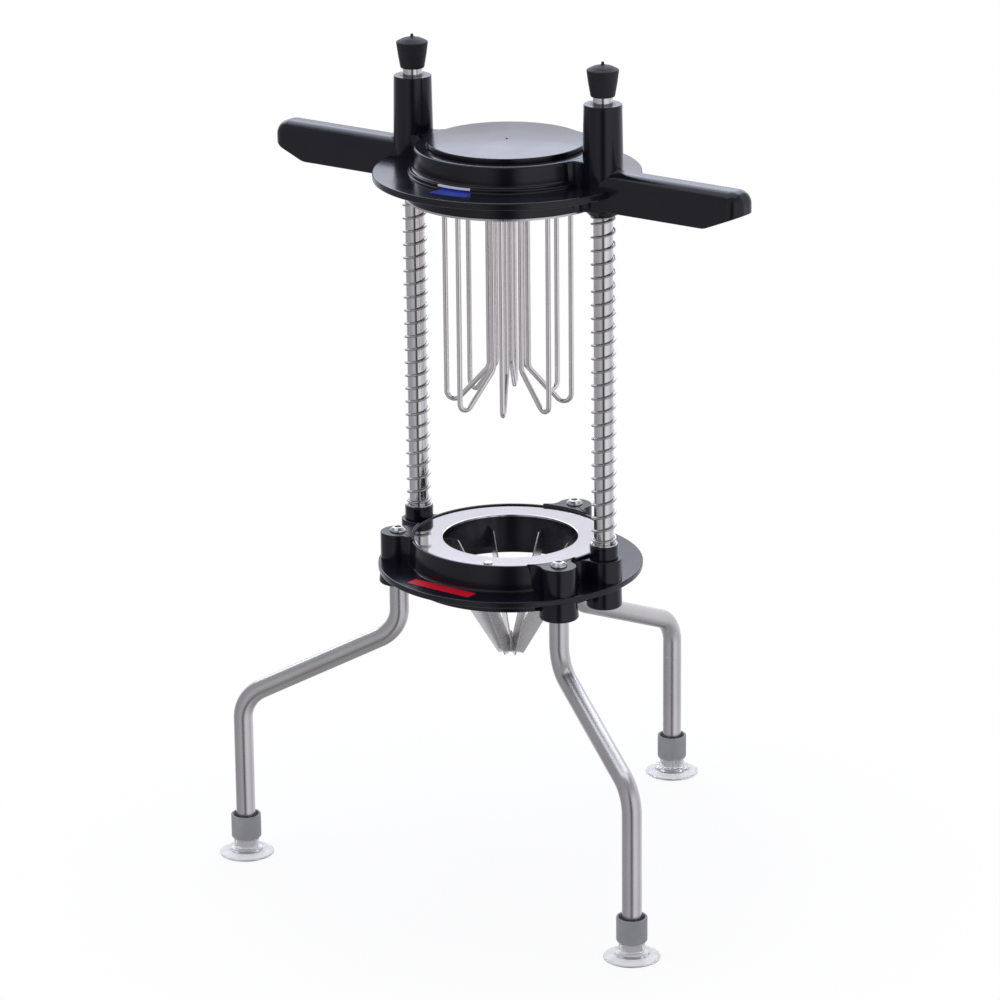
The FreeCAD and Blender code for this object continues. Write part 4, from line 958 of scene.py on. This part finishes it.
lampLooks = {
    "keyLeft": {"azimuth": -75, "elevation": 35, "distance": 2.2, "size": (1.6, 1.8),
                "radiance": 1.1, "colour": (1, 1, 1), "mirrored": False},
    "fillRight": {"azimuth": 80, "elevation": 25, "distance": 2.4, "size": (1.4, 1.8),
                  "radiance": 0.9, "colour": (1, 1, 1), "mirrored": False},
    "topBack": {"azimuth": 180, "elevation": 40, "distance": 2.6, "size": (3.4, 2.0),
                "radiance": 2.4, "colour": (0.75, 0.81, 1.0), "mirrored": True},
    "overhead": {"azimuth": 180, "elevation": 84, "distance": 2.4, "size": (3.0, 1.7),
                 "radiance": 1.1, "colour": (0.86, 0.89, 1.0), "mirrored": True}}
lampTarget = Vector((*pressAxis, 320)) / metre


def addLamp(name, look):
    # A soft lamp turned towards the press. Its power is radiance * pi * area
    away = awayTowards(cameraLook["azimuth"] + look["azimuth"], look["elevation"])
    lamp = bpy.data.lights.new(name, "AREA")
    lamp.shape = "RECTANGLE"
    lamp.size, lamp.size_y = look["size"]
    lamp.energy = look["radiance"] * math.pi * lamp.size * lamp.size_y
    lamp.color = look["colour"]
    item = newObject(name, lamp)
    item.location = lampTarget + away * look["distance"]
    item.rotation_euler = away.to_track_quat("Z", "Y").to_euler()
    item.visible_camera = False
    item.visible_glossy = look["mirrored"]


for name, look in lampLooks.items():
    addLamp(name, look)


worldLook = {
    "stops": ((-180, 1.0), (-150, 1.0), (-128, 0.4), (-60, 0.46), (-26, 0.62), (-14, 0.37),
              (-7, 0.07), (5, 0.07), (14, 0.7), (24, 1.0), (60, 0.9), (92, 0.65), (120, 0.9),
              (180, 1.0)),
    "tint": (0.98, 0.98, 1.05), "fadeFrom": 0.42, "fadeTo": 0.8, "steep": (0.4, 0.4, 0.42, 1),
    "plain": (0.5, 0.5, 0.52, 1), "white": (1, 1, 1, 1)}


def makeWorld(look):
    # The camera and glass see plain white, all else an even grey. Gloss sees a studio that changes
    # with the heading from the camera's side: a dark gap there, pale screens to the left and right.
    # High up and low down the screens fade to grey, share = how far |height| is past their edge
    world = bpy.data.worlds.new("studio")
    world.use_nodes = True
    bpy.context.scene.world = world
    tree = world.node_tree
    seen, places = newNode(tree, "LightPath"), newNode(tree, "TexCoord")
    heading = newNode(tree, "Math", operation="ARCTAN2")
    level = Vector((cameraBack.x, cameraBack.y, 0)).normalized()
    for number, direction in enumerate((cameraRight, level)):
        part = newNode(tree, "VectorMath", {1: direction}, operation="DOT_PRODUCT")
        wire(tree, (places, "Generated", part, 0), (part, "Value", heading, number))
    circle = rangeNode(tree, -math.pi, math.pi)
    ramp = newNode(tree, "ValToRGB")
    while len(ramp.color_ramp.elements) < len(look["stops"]):
        ramp.color_ramp.elements.new(0.5)
    for element, (turn, value) in zip(ramp.color_ramp.elements, look["stops"]):
        element.position = (turn + 180) / 360
        element.color = (*(value * share for share in look["tint"]), 1)
    apart = newNode(tree, "SeparateXYZ")
    steep = newNode(tree, "Math", operation="ABSOLUTE")
    edge = rangeNode(tree, look["fadeFrom"], look["fadeTo"])
    studio = newNode(tree, "Mix", {secondColour: look["steep"]}, data_type="RGBA")
    gloss = newNode(tree, "Mix", {firstColour: look["plain"]}, data_type="RGBA")
    plain = newNode(tree, "Math", operation="MAXIMUM")
    final = newNode(tree, "Mix", {secondColour: look["white"]}, data_type="RGBA")
    wire(tree, (heading, "Value", circle, "Value"), (circle, "Result", ramp, "Fac"),
         (places, "Generated", apart, "Vector"), (apart, "Z", steep, 0),
         (steep, "Value", edge, "Value"), (edge, "Result", studio, 0),
         (ramp, "Color", studio, firstColour), (seen, "Is Glossy Ray", gloss, 0),
         (studio, mixedColour, gloss, secondColour), (seen, "Is Camera Ray", plain, 0),
         (seen, "Is Transmission Ray", plain, 1), (plain, "Value", final, 0),
         (gloss, mixedColour, final, firstColour),
         (final, mixedColour, tree.nodes["Background"], "Color"))


makeWorld(worldLook)
floorLook = {"half": 6.0, "height": -0.0004, "colour": (0.86, 0.86, 0.87, 1), "rough": 0.7,
             "shareUnder": 0.86, "near": 0.15, "far": 0.4}


def makeFloor(look):
    # A wide pale floor: to the camera a share of it is plain white, shareUnder below the press and
    # all of it from far on, so that only a soft shadow shows
    half = look["half"]
    mesh = bpy.data.meshes.new("floor")
    mesh.from_pydata([(half * x, half * y, look["height"])
                      for x, y in ((-1, -1), (1, -1), (1, 1), (-1, 1))], [], [(0, 1, 2, 3)])
    floor = newObject("floor", mesh)
    finish = Finish("paleFloor", {
        "Base Color": look["colour"], "Roughness": look["rough"], "Specular IOR Level": 0.0})
    tree = finish.tree
    glow, mixed, seen = (newNode(tree, kind) for kind in ("Emission", "MixShader", "LightPath"))
    either = newNode(tree, "Math", operation="MAXIMUM")
    spread = newNode(tree, "VectorMath", {1: (*pressAxis / metre, 0)}, operation="DISTANCE")
    fade = rangeNode(tree, look["near"], look["far"])
    fade.inputs["To Min"].default_value = look["shareUnder"]
    share = newNode(tree, "Math", operation="MULTIPLY")
    wire(tree, (finish.places, "Object", spread, 0), (spread, "Value", fade, "Value"),
         (fade, "Result", share, 1), (seen, "Is Camera Ray", either, 0),
         (seen, "Is Transmission Ray", either, 1), (either, "Value", share, 0),
         (share, "Value", mixed, "Fac"), (finish.shader, "BSDF", mixed, 1),
         (glow, "Emission", mixed, 2), (mixed, "Shader", tree.nodes["Material Output"], "Surface"))
    mesh.materials.append(finish.material)
    floor.visible_glossy = False


makeFloor(floorLook)
bpy.context.scene.view_settings.view_transform = "Standard"
print("camera, lamps and floor done")
